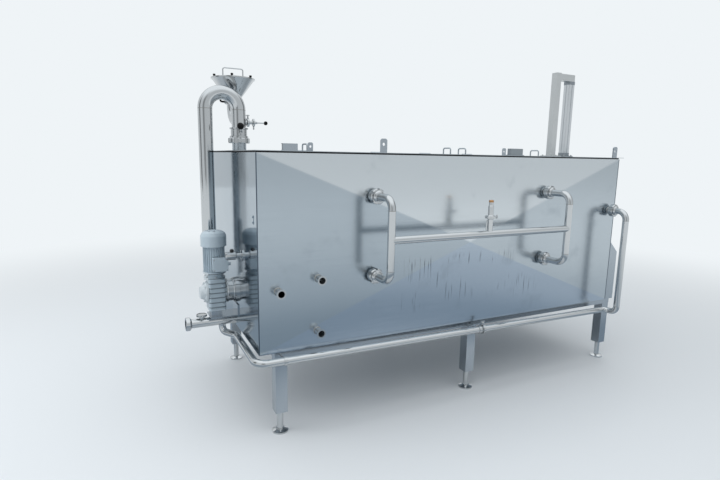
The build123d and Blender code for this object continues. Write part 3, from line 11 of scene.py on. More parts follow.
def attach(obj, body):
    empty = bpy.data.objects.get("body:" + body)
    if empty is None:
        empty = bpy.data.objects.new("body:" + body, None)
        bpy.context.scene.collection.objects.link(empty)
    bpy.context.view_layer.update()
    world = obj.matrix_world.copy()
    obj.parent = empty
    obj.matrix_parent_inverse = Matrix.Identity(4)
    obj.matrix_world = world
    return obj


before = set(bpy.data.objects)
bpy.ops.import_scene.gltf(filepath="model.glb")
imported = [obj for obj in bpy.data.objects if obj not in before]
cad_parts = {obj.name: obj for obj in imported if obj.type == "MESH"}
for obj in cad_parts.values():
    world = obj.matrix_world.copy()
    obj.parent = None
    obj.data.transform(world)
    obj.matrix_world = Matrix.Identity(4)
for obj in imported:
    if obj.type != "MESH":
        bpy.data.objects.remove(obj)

log = logging.getLogger("butter_melter")
MACHINE = "machine"
MM = 0.001
# The tank's middle in the machine's frame, and its main sizes, all in millimetres.
TANK_SHIFT = (106.0, 109.5)
HALF_LENGTH = 1300.0
HALF_HEIGHT = 511.0
MID_HEIGHT = 978.0
DECK_TOP = 1502.0
PIPE_RADIUS = 20.5
LARGE_PIPE_RADIUS = 42.5
# Numbers of the colour sockets of Blender's Mix node.
MIX_FROM, MIX_TO, MIX_RESULT = 6, 7, 2


class Grain(Enum):
    """Way in which a metal surface was finished, as stretch of its noise along X, Y and Z, in 1/m."""

    LENGTHWISE = (3.0, 60.0, 260.0)
    ACROSS = (60.0, 3.0, 260.0)
    UPRIGHT = (220.0, 220.0, 4.0)
    DECK = (3.0, 240.0, 60.0)
    TURNED = (160.0, 160.0, 160.0)
    POLISHED = (14.0, 14.0, 14.0)


class Way(Enum):
    """Direction that a nut, screw or ring faces, in the machine's frame."""

    UP = (0, 0, 1)
    DOWN = (0, 0, -1)
    FRONT = (0, -1, 0)
    REAR = (0, 1, 0)
    RIGHT = (1, 0, 0)


def linear(hex_colour: str) -> tuple[float, float, float, float]:
    """Turn an sRGB hex colour to the linear values of a shader socket.

    Args:
        hex_colour: Six hex digits.

    Returns:
        Linear red, green, blue and alpha.
    """
    values = [int(hex_colour[i:i + 2], 16) / 255 for i in (0, 2, 4)]
    parts = [v / 12.92 if v <= 0.04045 else ((v + 0.055) / 1.055) ** 2.4 for v in values]
    return (parts[0], parts[1], parts[2], 1.0)


def add_node(tree: bpy.types.NodeTree, kind: str, settings: dict[str | int, object] | None = None,
             links: dict[str | int, bpy.types.NodeSocket] | None = None) -> bpy.types.Node:
    """Add one shader node.

    Args:
        tree: Tree that gets the node.
        kind: Blender's name of the node type.
        settings: Attributes of the node, or values of its inputs by name or number.
        links: Output sockets that feed inputs of the node, by input name or number.

    Returns:
        The new node.
    """
    node = tree.nodes.new(kind)
    for key, value in (settings or {}).items():
        if isinstance(key, str) and hasattr(node, key):
            setattr(node, key, value)
        else:
            node.inputs[key].default_value = value
    for key, socket in (links or {}).items():
        tree.links.new(socket, node.inputs[key])
    return node


def shown(tree: bpy.types.NodeTree) -> bpy.types.NodeSocket:
    """Give a socket that is 1 for rays seen by the camera or mirrored in gloss or glass.

    Args:
        tree: Tree that gets the nodes.

    Returns:
        The socket.
    """
    path = add_node(tree, "ShaderNodeLightPath")
    first = add_node(tree, "ShaderNodeMath", {"operation": "MAXIMUM"},
                     {0: path.outputs["Is Camera Ray"], 1: path.outputs["Is Glossy Ray"]})
    both = add_node(tree, "ShaderNodeMath", {"operation": "MAXIMUM"},
                    {0: first.outputs[0], 1: path.outputs["Is Transmission Ray"]})
    return both.outputs[0]


def within(tree: bpy.types.NodeTree, value: bpy.types.NodeSocket,
           band: tuple[float, float, float, float]) -> bpy.types.NodeSocket:
    """Give a socket that is 1 inside a band of a value and eases to 0 on both sides.

    Args:
        tree: Tree that gets the nodes.
        value: The value.
        band: Where the socket starts to rise, is full, starts to fall and is gone.

    Returns:
        The socket.
    """
    start, full, end, gone = band
    rise, fall = (add_node(tree, "ShaderNodeMapRange", {"interpolation_type": "SMOOTHSTEP", "From Min": low,
                                                        "From Max": high}, {"Value": value})
                  for low, high in ((start, full), (gone, end)))
    both = add_node(tree, "ShaderNodeMath", {"operation": "MULTIPLY"},
                    {0: rise.outputs[0], 1: fall.outputs[0]})
    return both.outputs[0]


def layered(tree: bpy.types.NodeTree, colour: bpy.types.NodeSocket,
            layers: tuple[tuple[bpy.types.NodeSocket, str], ...]) -> bpy.types.NodeSocket:
    """Lay tints over a colour, one after another.

    Args:
        tree: Tree that gets the nodes.
        colour: Colour under all of them.
        layers: Share of each tint and its sRGB hex colour.

    Returns:
        The new colour.
    """
    for share, tint in layers:
        mix = add_node(tree, "ShaderNodeMix", {"data_type": "RGBA", MIX_TO: linear(tint)},
                       {0: share, MIX_FROM: colour})
        colour = mix.outputs[MIX_RESULT]
    return colour


def roughen(tree: bpy.types.NodeTree, grain: bpy.types.NodeSocket, span: tuple[float, float],
            roughness: tuple[float, float], relief: tuple[float, float]) -> None:
    """Drive a material's roughness and relief from one grain.

    Args:
        tree: The material's tree.
        grain: The grain, from 0 to 1.
        span: Part of the grain over which the roughness runs from lowest to highest.
        roughness: Lowest and highest roughness.
        relief: Strength of the relief and its height in millimetres.
    """
    shader = tree.nodes["Principled BSDF"]
    spread = add_node(tree, "ShaderNodeMapRange", {"From Min": span[0], "From Max": span[1],
                                                   "To Min": roughness[0], "To Max": roughness[1]},
                      {"Value": grain})
    tree.links.new(spread.outputs[0], shader.inputs["Roughness"])
    bump = add_node(tree, "ShaderNodeBump", {"Strength": relief[0], "Distance": relief[1] * MM},
                    {"Height": grain})
    tree.links.new(bump.outputs[0], shader.inputs["Normal"])


@dataclass(frozen=True)
class MetalFinish:
    """Bare or ground metal with a worked surface.

    Attributes:
        name: Material name.
        colour: Main sRGB hex colour.
        shade: Second colour of the slow clouding.
        roughness: Lowest and highest roughness of the grain.
        grain: Way of the grain.
        bump: Height of the grain in millimetres.
        cloud: Size of the slow clouding, in 1/m.
        metal: Share that mirrors like bare metal; the rest scatters light, as an etched skin does.
    """

    name: str
    colour: str
    shade: str
    roughness: tuple[float, float]
    grain: Grain
    bump: float = 0.02
    cloud: float = 2.5
    metal: float = 1.0

    def material(self) -> bpy.types.Material:
        """Build the node material.

        Returns:
            The material.
        """
        material = bpy.data.materials.new(self.name)
        material.use_nodes = True
        tree = material.node_tree
        shader = tree.nodes["Principled BSDF"]
        shader.inputs["Metallic"].default_value = self.metal
        place = add_node(tree, "ShaderNodeTexCoord").outputs["Object"]
        stretched = add_node(tree, "ShaderNodeMapping", {"Scale": self.grain.value}, {"Vector": place})
        lines = add_node(tree, "ShaderNodeTexNoise", {"Scale": 1.0, "Detail": 4.0, "Roughness": 0.6},
                         {"Vector": stretched.outputs[0]})
        roughen(tree, lines.outputs[0], (0.3, 0.7), self.roughness, (0.6, self.bump))
        clouds = add_node(tree, "ShaderNodeTexNoise", {"Scale": self.cloud, "Detail": 3.0},
                          {"Vector": place})
        tone = add_node(tree, "ShaderNodeMix", {"data_type": "RGBA", MIX_FROM: linear(self.colour),
                                                MIX_TO: linear(self.shade)}, {0: clouds.outputs[0]})
        tree.links.new(self.pattern(tree, place, tone.outputs[MIX_RESULT]), shader.inputs["Base Color"])
        return material

    def pattern(self, tree: bpy.types.NodeTree, place: bpy.types.NodeSocket,
                tone: bpy.types.NodeSocket) -> bpy.types.NodeSocket:
        """Give the plain metal's colour as it is."""
        return tone


@dataclass(frozen=True)
class WallSheetFinish(MetalFinish):
    """Cross broken wall sheet: painted reflections and painted shade give its four triangles slightly
    different tones, with faint drip marks.

    Attributes:
        half: Half length and half height of the sheet in metres.
        centre: X and Z of the sheet's middle in metres.
        bright: Painted reflection on the upper triangle, a lighter tint.
        dim: Painted reflection on the lower triangle, a bluish tint.
        shadow: Painted shade on the left triangle, a darker tint.
        smudge: Tint of the smudges.
        drip: Tint of the drip marks.
        upper_fold: Half width of the upper triangle's soft edge, as a share of the sheet's half sizes.
        fold: The same of the lower and left triangles.
        drip_x: Where the drip marks come in and go out along X, in metres.
        drip_z: The same along Z.
    """

    half: tuple[float, float] = (1.3, 0.511)
    centre: tuple[float, float] = (0.106, 0.978)
    # Painted reflections on the upper and lower triangles, painted shade on the left one.
    bright: str = "e2e7ea"
    dim: str = "b1bfcf"
    shadow: str = "aab6bf"
    smudge: str = "8d979f"
    drip: str = "5f6a74"
    upper_fold: float = 0.025
    fold: float = 0.008
    drip_x: tuple[float, float, float, float] = (-0.45, -0.25, 0.55, 0.75)
    drip_z: tuple[float, float, float, float] = (0.56, 0.66, 0.88, 0.93)

    def triangle(self, tree: bpy.types.NodeTree, towards: bpy.types.NodeSocket, end: float,
                 across: bpy.types.NodeSocket, edge: float, share: float) -> bpy.types.NodeSocket:
        """Give a socket that is a share inside one of the four triangles and 0 outside it.

        Args:
            tree: The material's tree.
            towards: Place from -1 to 1 on the axis at whose end the triangle's base lies.
            end: That end, -1 or 1.
            across: Place from -1 to 1 on the other axis.
            edge: Half width of the triangle's soft edge.
            share: The share inside.

        Returns:
            The socket.
        """
        lead = add_node(tree, "ShaderNodeMath", {"operation": "MULTIPLY", 1: end}, {0: towards})
        wide = add_node(tree, "ShaderNodeMath", {"operation": "ABSOLUTE"}, {0: across})
        gap = add_node(tree, "ShaderNodeMath", {"operation": "SUBTRACT"},
                       {0: lead.outputs[0], 1: wide.outputs[0]})
        inside = add_node(tree, "ShaderNodeMapRange", {"interpolation_type": "SMOOTHSTEP", "From Min": -edge,
                                                       "From Max": edge, "To Max": share},
                          {"Value": gap.outputs[0]})
        return inside.outputs[0]

    def drips(self, tree: bpy.types.NodeTree, place: bpy.types.NodeSocket, x: bpy.types.NodeSocket,
              z: bpy.types.NodeSocket) -> bpy.types.NodeSocket:
        """Give the share of the thin drip marks, which run in groups down the lower middle of the sheet.

        Args:
            tree: The material's tree.
            place: Object coordinates.
            x: Their X.
            z: Their Z.

        Returns:
            The socket.
        """
        thin = add_node(tree, "ShaderNodeMapping", {"Scale": (150.0, 1.0, 6.0)}, {"Vector": place})
        marks = add_node(tree, "ShaderNodeTexNoise", {"Scale": 1.0, "Detail": 2.0},
                         {"Vector": thin.outputs[0]})
        groups = add_node(tree, "ShaderNodeTexNoise", {"Scale": 4.5, "Detail": 1.0}, {"Vector": place})
        wet = add_node(tree, "ShaderNodeMath", {"operation": "MULTIPLY"},
                       {0: within(tree, x, self.drip_x), 1: within(tree, z, self.drip_z)})
        for noise, low, high, share in ((groups, 0.45, 0.56, 1.0), (marks, 0.6, 0.7, 0.8)):
            part = add_node(tree, "ShaderNodeMapRange", {"interpolation_type": "SMOOTHSTEP", "From Min": low,
                                                         "From Max": high, "To Max": share},
                            {"Value": noise.outputs[0]})
            wet = add_node(tree, "ShaderNodeMath", {"operation": "MULTIPLY"},
                           {0: wet.outputs[0], 1: part.outputs[0]})
        return wet.outputs[0]

    def pattern(self, tree: bpy.types.NodeTree, place: bpy.types.NodeSocket,
                tone: bpy.types.NodeSocket) -> bpy.types.NodeSocket:
        """Paint reflections on the upper and lower triangles and shade on the left one, and lay smudges and
        drip marks over them.

        Args:
            tree: The material's tree.
            place: Object coordinates.
            tone: Colour made so far.

        Returns:
            The finished colour.
        """
        axes = add_node(tree, "ShaderNodeSeparateXYZ", links={"Vector": place})
        x, z = axes.outputs["X"], axes.outputs["Z"]
        along, level = (
            add_node(tree, "ShaderNodeMapRange", {"From Min": centre - half, "From Max": centre + half,
                                                  "To Min": -1.0, "To Max": 1.0}, {"Value": axis}).outputs[0]
            for axis, centre, half in zip((x, z), self.centre, self.half))
        stain = add_node(tree, "ShaderNodeTexNoise", {"Scale": 5.0, "Detail": 5.0, "Roughness": 0.6},
                         {"Vector": place})
        smudges = add_node(tree, "ShaderNodeMapRange", {"interpolation_type": "SMOOTHSTEP", "From Min": 0.58,
                                                        "From Max": 0.8, "To Max": 0.3},
                           {"Value": stain.outputs[0]})
        # Painted reflections on the upper and lower triangles, painted shade on the left one; smudges and
        # drip marks on top.
        return layered(tree, tone, (
            (self.triangle(tree, level, 1.0, along, self.upper_fold, 0.7), self.bright),
            (self.triangle(tree, level, -1.0, along, self.fold, 0.6), self.dim),
            (self.triangle(tree, along, -1.0, level, self.fold, 0.5), self.shadow),
            (smudges.outputs[0], self.smudge),
            (self.drips(tree, place, x, z), self.drip)))


@dataclass(frozen=True)
class CoatedFinish:
    """Paint, plastic or rubber.

    Attributes:
        name: Material name.
        colour: Main sRGB hex colour.
        shade: Colour of its dust and wear.
        roughness: Lowest and highest roughness.
        grit: Size of the surface's grain, in 1/m.
        bump: Height of the grain in millimetres.
        coat: Weight of a clear gloss coat.
        gloss: Level of the plain reflection.
    """

    name: str
    colour: str
    shade: str
    roughness: tuple[float, float]
    grit: float
    bump: float = 0.05
    coat: float = 0.0
    gloss: float = 0.5

    def material(self) -> bpy.types.Material:
        """Build the node material.

        Returns:
            The material.
        """
        material = bpy.data.materials.new(self.name)
        material.use_nodes = True
        tree = material.node_tree
        shader = tree.nodes["Principled BSDF"]
        shader.inputs["Coat Weight"].default_value = self.coat
        shader.inputs["Specular IOR Level"].default_value = self.gloss
        place = add_node(tree, "ShaderNodeTexCoord").outputs["Object"]
        grains = add_node(tree, "ShaderNodeTexNoise", {"Scale": self.grit, "Detail": 5.0},
                          {"Vector": place})
        roughen(tree, grains.outputs[0], (0.0, 1.0), self.roughness, (0.5, self.bump))
        wear = add_node(tree, "ShaderNodeTexNoise", {"Scale": 9.0, "Detail": 6.0}, {"Vector": place})
        worn = add_node(tree, "ShaderNodeMapRange", {"From Min": 0.45, "From Max": 0.75, "To Max": 0.7},
                        {"Value": wear.outputs[0]})
        tone = add_node(tree, "ShaderNodeMix", {"data_type": "RGBA", MIX_FROM: linear(self.colour),
                                                MIX_TO: linear(self.shade)}, {0: worn.outputs[0]})
        tree.links.new(self.pattern(tree, place, tone.outputs[MIX_RESULT]), shader.inputs["Base Color"])
        return material

    def pattern(self, tree: bpy.types.NodeTree, place: bpy.types.NodeSocket,
                tone: bpy.types.NodeSocket) -> bpy.types.NodeSocket:
        """Give the plain coating's colour as it is."""
        return tone


@dataclass(frozen=True)
class GearboxFinish(CoatedFinish):
    """Enamel of the gearbox, with painted shade in dark lines along its ribs and a paler side cover.

    Attributes:
        lowest_rib: Height of the lowest rib's middle in metres.
        pitch: Distance from rib to rib in metres.
        cover_x: X of the seat of the side cover in metres.
        seam: Half width of the turn of colour at that seat in metres.
        clean: Distance from a rib's middle at which the painted shade ends, as a share of the pitch.
        dirty: The same where it is full.
        grime: Colour of the painted shade along the ribs.
        cover: Colour of the side cover.
    """

    lowest_rib: float = 0.608
    pitch: float = 0.028
    cover_x: float = -1.357
    seam: float = 0.0005
    # Painted shade along the ribs: where it ends, where it is full, and its colour.
    clean: float = 0.14
    dirty: float = 0.06
    grime: str = "3d464d"
    cover: str = "c3ccd1"

    def pattern(self, tree: bpy.types.NodeTree, place: bpy.types.NodeSocket,
                tone: bpy.types.NodeSocket) -> bpy.types.NodeSocket:
        """Paint shade in a dark line at every rib and pale the cover.

        Args:
            tree: The material's tree.
            place: Object coordinates.
            tone: Colour made so far.

        Returns:
            The finished colour.
        """
        axes = add_node(tree, "ShaderNodeSeparateXYZ", links={"Vector": place})
        steps = add_node(tree, "ShaderNodeMath", {"operation": "MULTIPLY_ADD", 1: 1 / self.pitch,
                                                  2: 0.5 - self.lowest_rib / self.pitch},
                         {0: axes.outputs["Z"]})
        phase = add_node(tree, "ShaderNodeMath", {"operation": "FRACT"}, {0: steps.outputs[0]})
        off = add_node(tree, "ShaderNodeMath", {"operation": "SUBTRACT", 1: 0.5}, {0: phase.outputs[0]})
        away = add_node(tree, "ShaderNodeMath", {"operation": "ABSOLUTE"}, {0: off.outputs[0]})
        # Painted shade: a dark line at every rib.
        line = add_node(tree, "ShaderNodeMapRange", {"interpolation_type": "SMOOTHSTEP",
                                                     "From Min": self.clean, "From Max": self.dirty,
                                                     "To Max": 0.75}, {"Value": away.outputs[0]})
        body = add_node(tree, "ShaderNodeMapRange", {"interpolation_type": "SMOOTHSTEP",
                                                     "From Min": self.cover_x - self.seam,
                                                     "From Max": self.cover_x + self.seam},
                        {"Value": axes.outputs["X"]})
        ribs = add_node(tree, "ShaderNodeMath", {"operation": "MULTIPLY"},
                        {0: line.outputs[0], 1: body.outputs[0]})
        rest = add_node(tree, "ShaderNodeMath", {"operation": "SUBTRACT", 0: 1.0}, {1: body.outputs[0]})
        return layered(tree, tone, ((ribs.outputs[0], self.grime), (rest.outputs[0], self.cover)))


@dataclass
class Finishes:
    """All finishes of the machine, each built once."""

    # Ground weld metal: duller than the tube, a little warmer.
    weld: MetalFinish = MetalFinish("ground_stainless_weld", "aeadaa", "9b9a95", (0.24, 0.38), Grain.TURNED)
    # Folded and welded corner of the wall sheets, coloured dark as painted shade of the corner.
    seam: MetalFinish = MetalFinish("corner_shade_strip", "5d6b79", "4a5663", (0.3, 0.45), Grain.UPRIGHT)
    # Cold rolled stainless sheet, ground lengthwise: soft reflections of the room.
    satin: MetalFinish = MetalFinish("satin_stainless_sheet", "bac2c8", "adb6bd", (0.20, 0.30),
                                     Grain.LENGTHWISE, 0.006)
    # The same sheet on the right end, ground across the machine.
    end_sheet: MetalFinish = MetalFinish("satin_end_sheet", "b4bcc3", "a9b2b9", (0.18, 0.26),
                                         Grain.ACROSS, 0.003)
    # The same sheet cross broken: painted reflections and painted shade tone its four triangles differently,
    # drip marks run down it.
    wall: MetalFinish = WallSheetFinish("cross_broken_stainless_sheet", "c3cbd1", "bac3c9", (0.17, 0.25),
                                        Grain.LENGTHWISE, 0.004)
    # Bright annealed stainless sheet: nearly a mirror, with slow waves.
    mirror: MetalFinish = MetalFinish("bright_stainless_sheet", "a2aeb7", "98a5af", (0.07, 0.13),
                                      Grain.POLISHED, 0.05)
    # Deck plate ground lengthwise, seen at a shallow angle.
    deck: MetalFinish = MetalFinish("ground_stainless_plate", "bcc3c8", "b0b8be", (0.24, 0.34), Grain.DECK,
                                    0.01)
    # Polished hygienic tube: bright, with fine rings from the polishing.
    tube: MetalFinish = MetalFinish("polished_stainless_tube", "cfd1d2", "c2c5c7", (0.07, 0.13),
                                    Grain.TURNED, 0.008)
    # Turned stainless fittings: a little brighter edges and tool rings.
    turned: MetalFinish = MetalFinish("turned_stainless_fitting", "cbcdce", "b9bcbe", (0.12, 0.2),
                                      Grain.TURNED, 0.015)
    # Square tube of legs and frame, ground upright.
    leg: MetalFinish = MetalFinish("ground_stainless_tube", "b4bbc2", "abb3ba", (0.16, 0.22),
                                   Grain.TURNED, 0.002)
    # Bead blasted square tube of the mast: even, matt and pale.
    blasted: MetalFinish = MetalFinish("bead_blasted_stainless", "d8dada", "cdd0d1", (0.34, 0.44),
                                       Grain.TURNED, 0.01)
    # Inner tank, pickled stainless: matt and pale, so that it shows its shape when the lids are open.
    inside: MetalFinish = MetalFinish("pickled_stainless_sheet", "c8ccce", "babec1", (0.34, 0.46),
                                      Grain.LENGTHWISE, metal=0.45)
    # Ground machine steel of shafts and wheels.
    steel: MetalFinish = MetalFinish("ground_machine_steel", "8e9092", "7c7e80", (0.22, 0.34),
                                     Grain.TURNED)
    # Clear anodised aluminium profile: matt pale grey.
    anodised: MetalFinish = MetalFinish("anodised_aluminium_profile", "dfe2e4", "d5d9dc", (0.28, 0.38),
                                        Grain.UPRIGHT, 0.01)
    # Die cast aluminium of end caps and switch housings.
    cast: MetalFinish = MetalFinish("die_cast_aluminium", "a4abb0", "92999f", (0.32, 0.45), Grain.TURNED)
    # Tarnished orange brass of the vent's cap.
    brass: MetalFinish = MetalFinish("tarnished_brass", "c9986a", "b08255", (0.25, 0.42), Grain.TURNED)
    # Semi-gloss machine enamel over castings: slight orange peel and dust.
    enamel: CoatedFinish = CoatedFinish("blue_grey_machine_enamel", "b2c1cb", "9eacb6", (0.30, 0.46), 380.0,
                                        0.08, 0.25)
    # The same enamel on the gearbox, with painted shade along its ribs.
    ribbed: CoatedFinish = GearboxFinish("rib_shaded_machine_enamel", "b2c1cb", "9eacb6", (0.30, 0.46), 380.0,
                                         0.08, 0.25)
    # Matt food seal rubber.
    seal: CoatedFinish = CoatedFinish("black_seal_rubber", "141519", "202226", (0.6, 0.8), 500.0)
    # Moulded phenolic balls and grips, dulled by use.
    ball: CoatedFinish = CoatedFinish("black_phenolic_knob", "060708", "0c0d0f", (0.42, 0.55), 300.0, 0.01,
                                      0.0, 0.2)
    # Glass filled nylon, finely grained.
    nylon: CoatedFinish = CoatedFinish("black_glass_filled_nylon", "1c1e21", "282b2e", (0.42, 0.58), 700.0)
    # Pressed mineral wool inside the walls, never seen from outside.
    wool: CoatedFinish = CoatedFinish("mineral_wool_slab", "a99464", "8b7a52", (0.85, 0.95), 160.0, 0.8)
    built: dict[str, bpy.types.Material] = field(default_factory=dict)

    def material(self, finish: MetalFinish | CoatedFinish) -> bpy.types.Material:
        """Give a finish's material, built at its first use.

        Args:
            finish: One of the finishes.

        Returns:
            Its material.
        """
        if finish.name not in self.built:
            self.built[finish.name] = finish.material()
        return self.built[finish.name]

    def dress(self, finish: MetalFinish | CoatedFinish, *nodes: str) -> None:
        """Put a finish on CAD nodes.

        Args:
            finish: The finish.
            nodes: Names of the nodes.
        """
        for name in nodes:
            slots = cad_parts[name].data.materials
            slots.clear()
            slots.append(self.material(finish))


FINISH = Finishes()


def turn_to(way: Way) -> Matrix:
    """Give the turn that takes +Z to a direction."""
    return Vector((0, 0, 1)).rotation_difference(Vector(way.value)).to_matrix().to_4x4()


def around(count: int, radius: float, phase: float = 0.0) -> list[tuple[float, float]]:
    """Give evenly spaced places on a circle, radius in millimetres, results in metres."""
    return [(radius * MM * math.cos(a), radius * MM * math.sin(a))
            for a in (phase + math.tau * i / count for i in range(count))]


def at(x: float, y: float, z: float) -> Vector:
    """Give a place in metres from the tank's own millimetres, measured from its middle at floor level."""
    return Vector((x + TANK_SHIFT[0], y + TANK_SHIFT[1], z)) * MM


def joined(start: list[bmesh.types.BMVert]) -> list[bmesh.types.BMVert]:
    """Give all vertices that hang together with some vertices.

    Args:
        start: Vertices of one shape.

    Returns:
        Every vertex of that shape.
    """
    found = set(start)
    stack = list(start)
    while stack:
        for edge in stack.pop().link_edges:
            for vert in edge.verts:
                if vert not in found:
                    found.add(vert)
                    stack.append(vert)
    return list(found)


def turned(mesh: bmesh.types.BMesh, outline: tuple[tuple[float, float], ...], place: Vector, way: Way,
           steps: int = 32) -> None:
    """Spin an outline into a turned shape.

    Args:
        mesh: Mesh that gets the shape.
        outline: Radius and height pairs in millimetres.
        place: Foot of the axis in metres.
        way: Direction of the axis.
        steps: Number of flats round the axis.
    """
    verts = [mesh.verts.new((r * MM, 0, h * MM)) for r, h in outline]
    edges = [mesh.edges.new(pair) for pair in zip(verts, verts[1:])]
    bmesh.ops.spin(mesh, geom=verts + edges, cent=(0, 0, 0), axis=(0, 0, 1), angle=math.tau, steps=steps,
                   use_merge=True)
    bmesh.ops.transform(mesh, matrix=Matrix.Translation(place) @ turn_to(way), verts=joined(verts))


def raised(mesh: bmesh.types.BMesh, face: bmesh.types.BMFace, height: float) -> list[bmesh.types.BMFace]:
    """Pull a level face up into a block.

    Args:
        mesh: Mesh that holds the face.
        face: The face.
        height: Height of the block in millimetres.

    Returns:
        The block's top.
    """
    grown = bmesh.ops.extrude_face_region(mesh, geom=[face])["geom"]
    lifted = [part for part in grown if isinstance(part, bmesh.types.BMVert)]
    bmesh.ops.translate(mesh, vec=(0, 0, height * MM), verts=lifted)
    return [part for part in grown if isinstance(part, bmesh.types.BMFace)]


def hex_head(mesh: bmesh.types.BMesh, place: Vector, way: Way, across: float, height: float,
             chamfer: float = 0.12) -> None:
    """Add a hexagon head with a bevelled top.

    Args:
        mesh: Mesh that gets the head.
        place: Middle of its seat in metres.
        way: Direction that it faces.
        across: Width across the flats in millimetres.
        height: Height in millimetres.
        chamfer: Width and height of the bevel, as a share of the head's own.
    """
    radius = across * MM / math.sqrt(3)
    ring = bmesh.ops.create_circle(mesh, cap_ends=True, radius=radius, segments=6)["verts"]
    cap = raised(mesh, ring[0].link_faces[0], height)
    bmesh.ops.inset_region(mesh, faces=cap, thickness=radius * chamfer, depth=height * MM * chamfer)
    bmesh.ops.transform(mesh, matrix=Matrix.Translation(place) @ turn_to(way), verts=joined(list(ring)))


def bead(mesh: bmesh.types.BMesh, place: Vector, way: Way, radius: float, width: float,
         height: float) -> None:
    """Lay a round weld bead or raised ring.

    Args:
        mesh: Mesh that gets the ring.
        place: Its middle in metres.
        way: Its axis.
        radius: Radius of what it lies on, in millimetres.
        width: Width of the bead in millimetres.
        height: How far it stands out in millimetres.
    """
    foot, shoulder = radius - 0.6, radius + height * 0.55
    half = width / 2
    outline = ((foot, -half), (shoulder, -half * 0.75), (radius + height, 0.0), (shoulder, half * 0.75),
               (foot, half), (foot, -half))
    turned(mesh, outline, place, way, 40)


def wing_nut(mesh: bmesh.types.BMesh, place: Vector, way: Way, size: float) -> None:
    """Add a wing nut on its bolt end.

    Args:
        mesh: Mesh that gets the nut.
        place: Its seat in metres.
        way: Direction that it faces.
        size: Radius of its hub in millimetres.
    """
    hub = ((0, 0), (1, 0), (0.8, 0.9), (0.4, 1), (0.4, 1.4), (0, 1.4))
    turned(mesh, tuple((size * r, size * h) for r, h in hub), place, way, 20)
    for side in (-1, 1):
        rim = bmesh.ops.create_circle(mesh, cap_ends=True, radius=size * 0.62 * MM, segments=12)["verts"]
        raised(mesh, rim[0].link_faces[0], size * 0.35)
        stand = (Matrix.Translation((side * size * 1.25 * MM, size * 0.17 * MM, size * 0.75 * MM))
                 @ Matrix.Rotation(math.pi / 2, 4, "X"))
        bmesh.ops.transform(mesh, matrix=Matrix.Translation(place) @ turn_to(way) @ stand,
                            verts=joined(list(rim)))


def piece(name: str, mesh: bmesh.types.BMesh, finish: MetalFinish | CoatedFinish,
          body: str = MACHINE, smooth: bool = True) -> bpy.types.Object:
    """Make a finished piece of a mesh and let it ride on a body.

    Args:
        name: Piece name.
        mesh: Its shape, in metres in the machine's frame.
        finish: Its finish.
        body: Body that carries it.
        smooth: Whether round faces are shaded smooth.

    Returns:
        The new object.
    """
    bmesh.ops.remove_doubles(mesh, verts=mesh.verts, dist=1e-6)
    bmesh.ops.recalc_face_normals(mesh, faces=mesh.faces)
    data = bpy.data.meshes.new(name)
    mesh.to_mesh(data)
    mesh.free()
    made = bpy.data.objects.new(name, data)
    bpy.context.scene.collection.objects.link(made)
    data.materials.append(FINISH.material(finish))
    if smooth:
        data.shade_smooth()
        data.set_sharp_from_angle(angle=math.radians(32))
    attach(made, body)
    log.info("%s rides on %s", name, body)
    return made


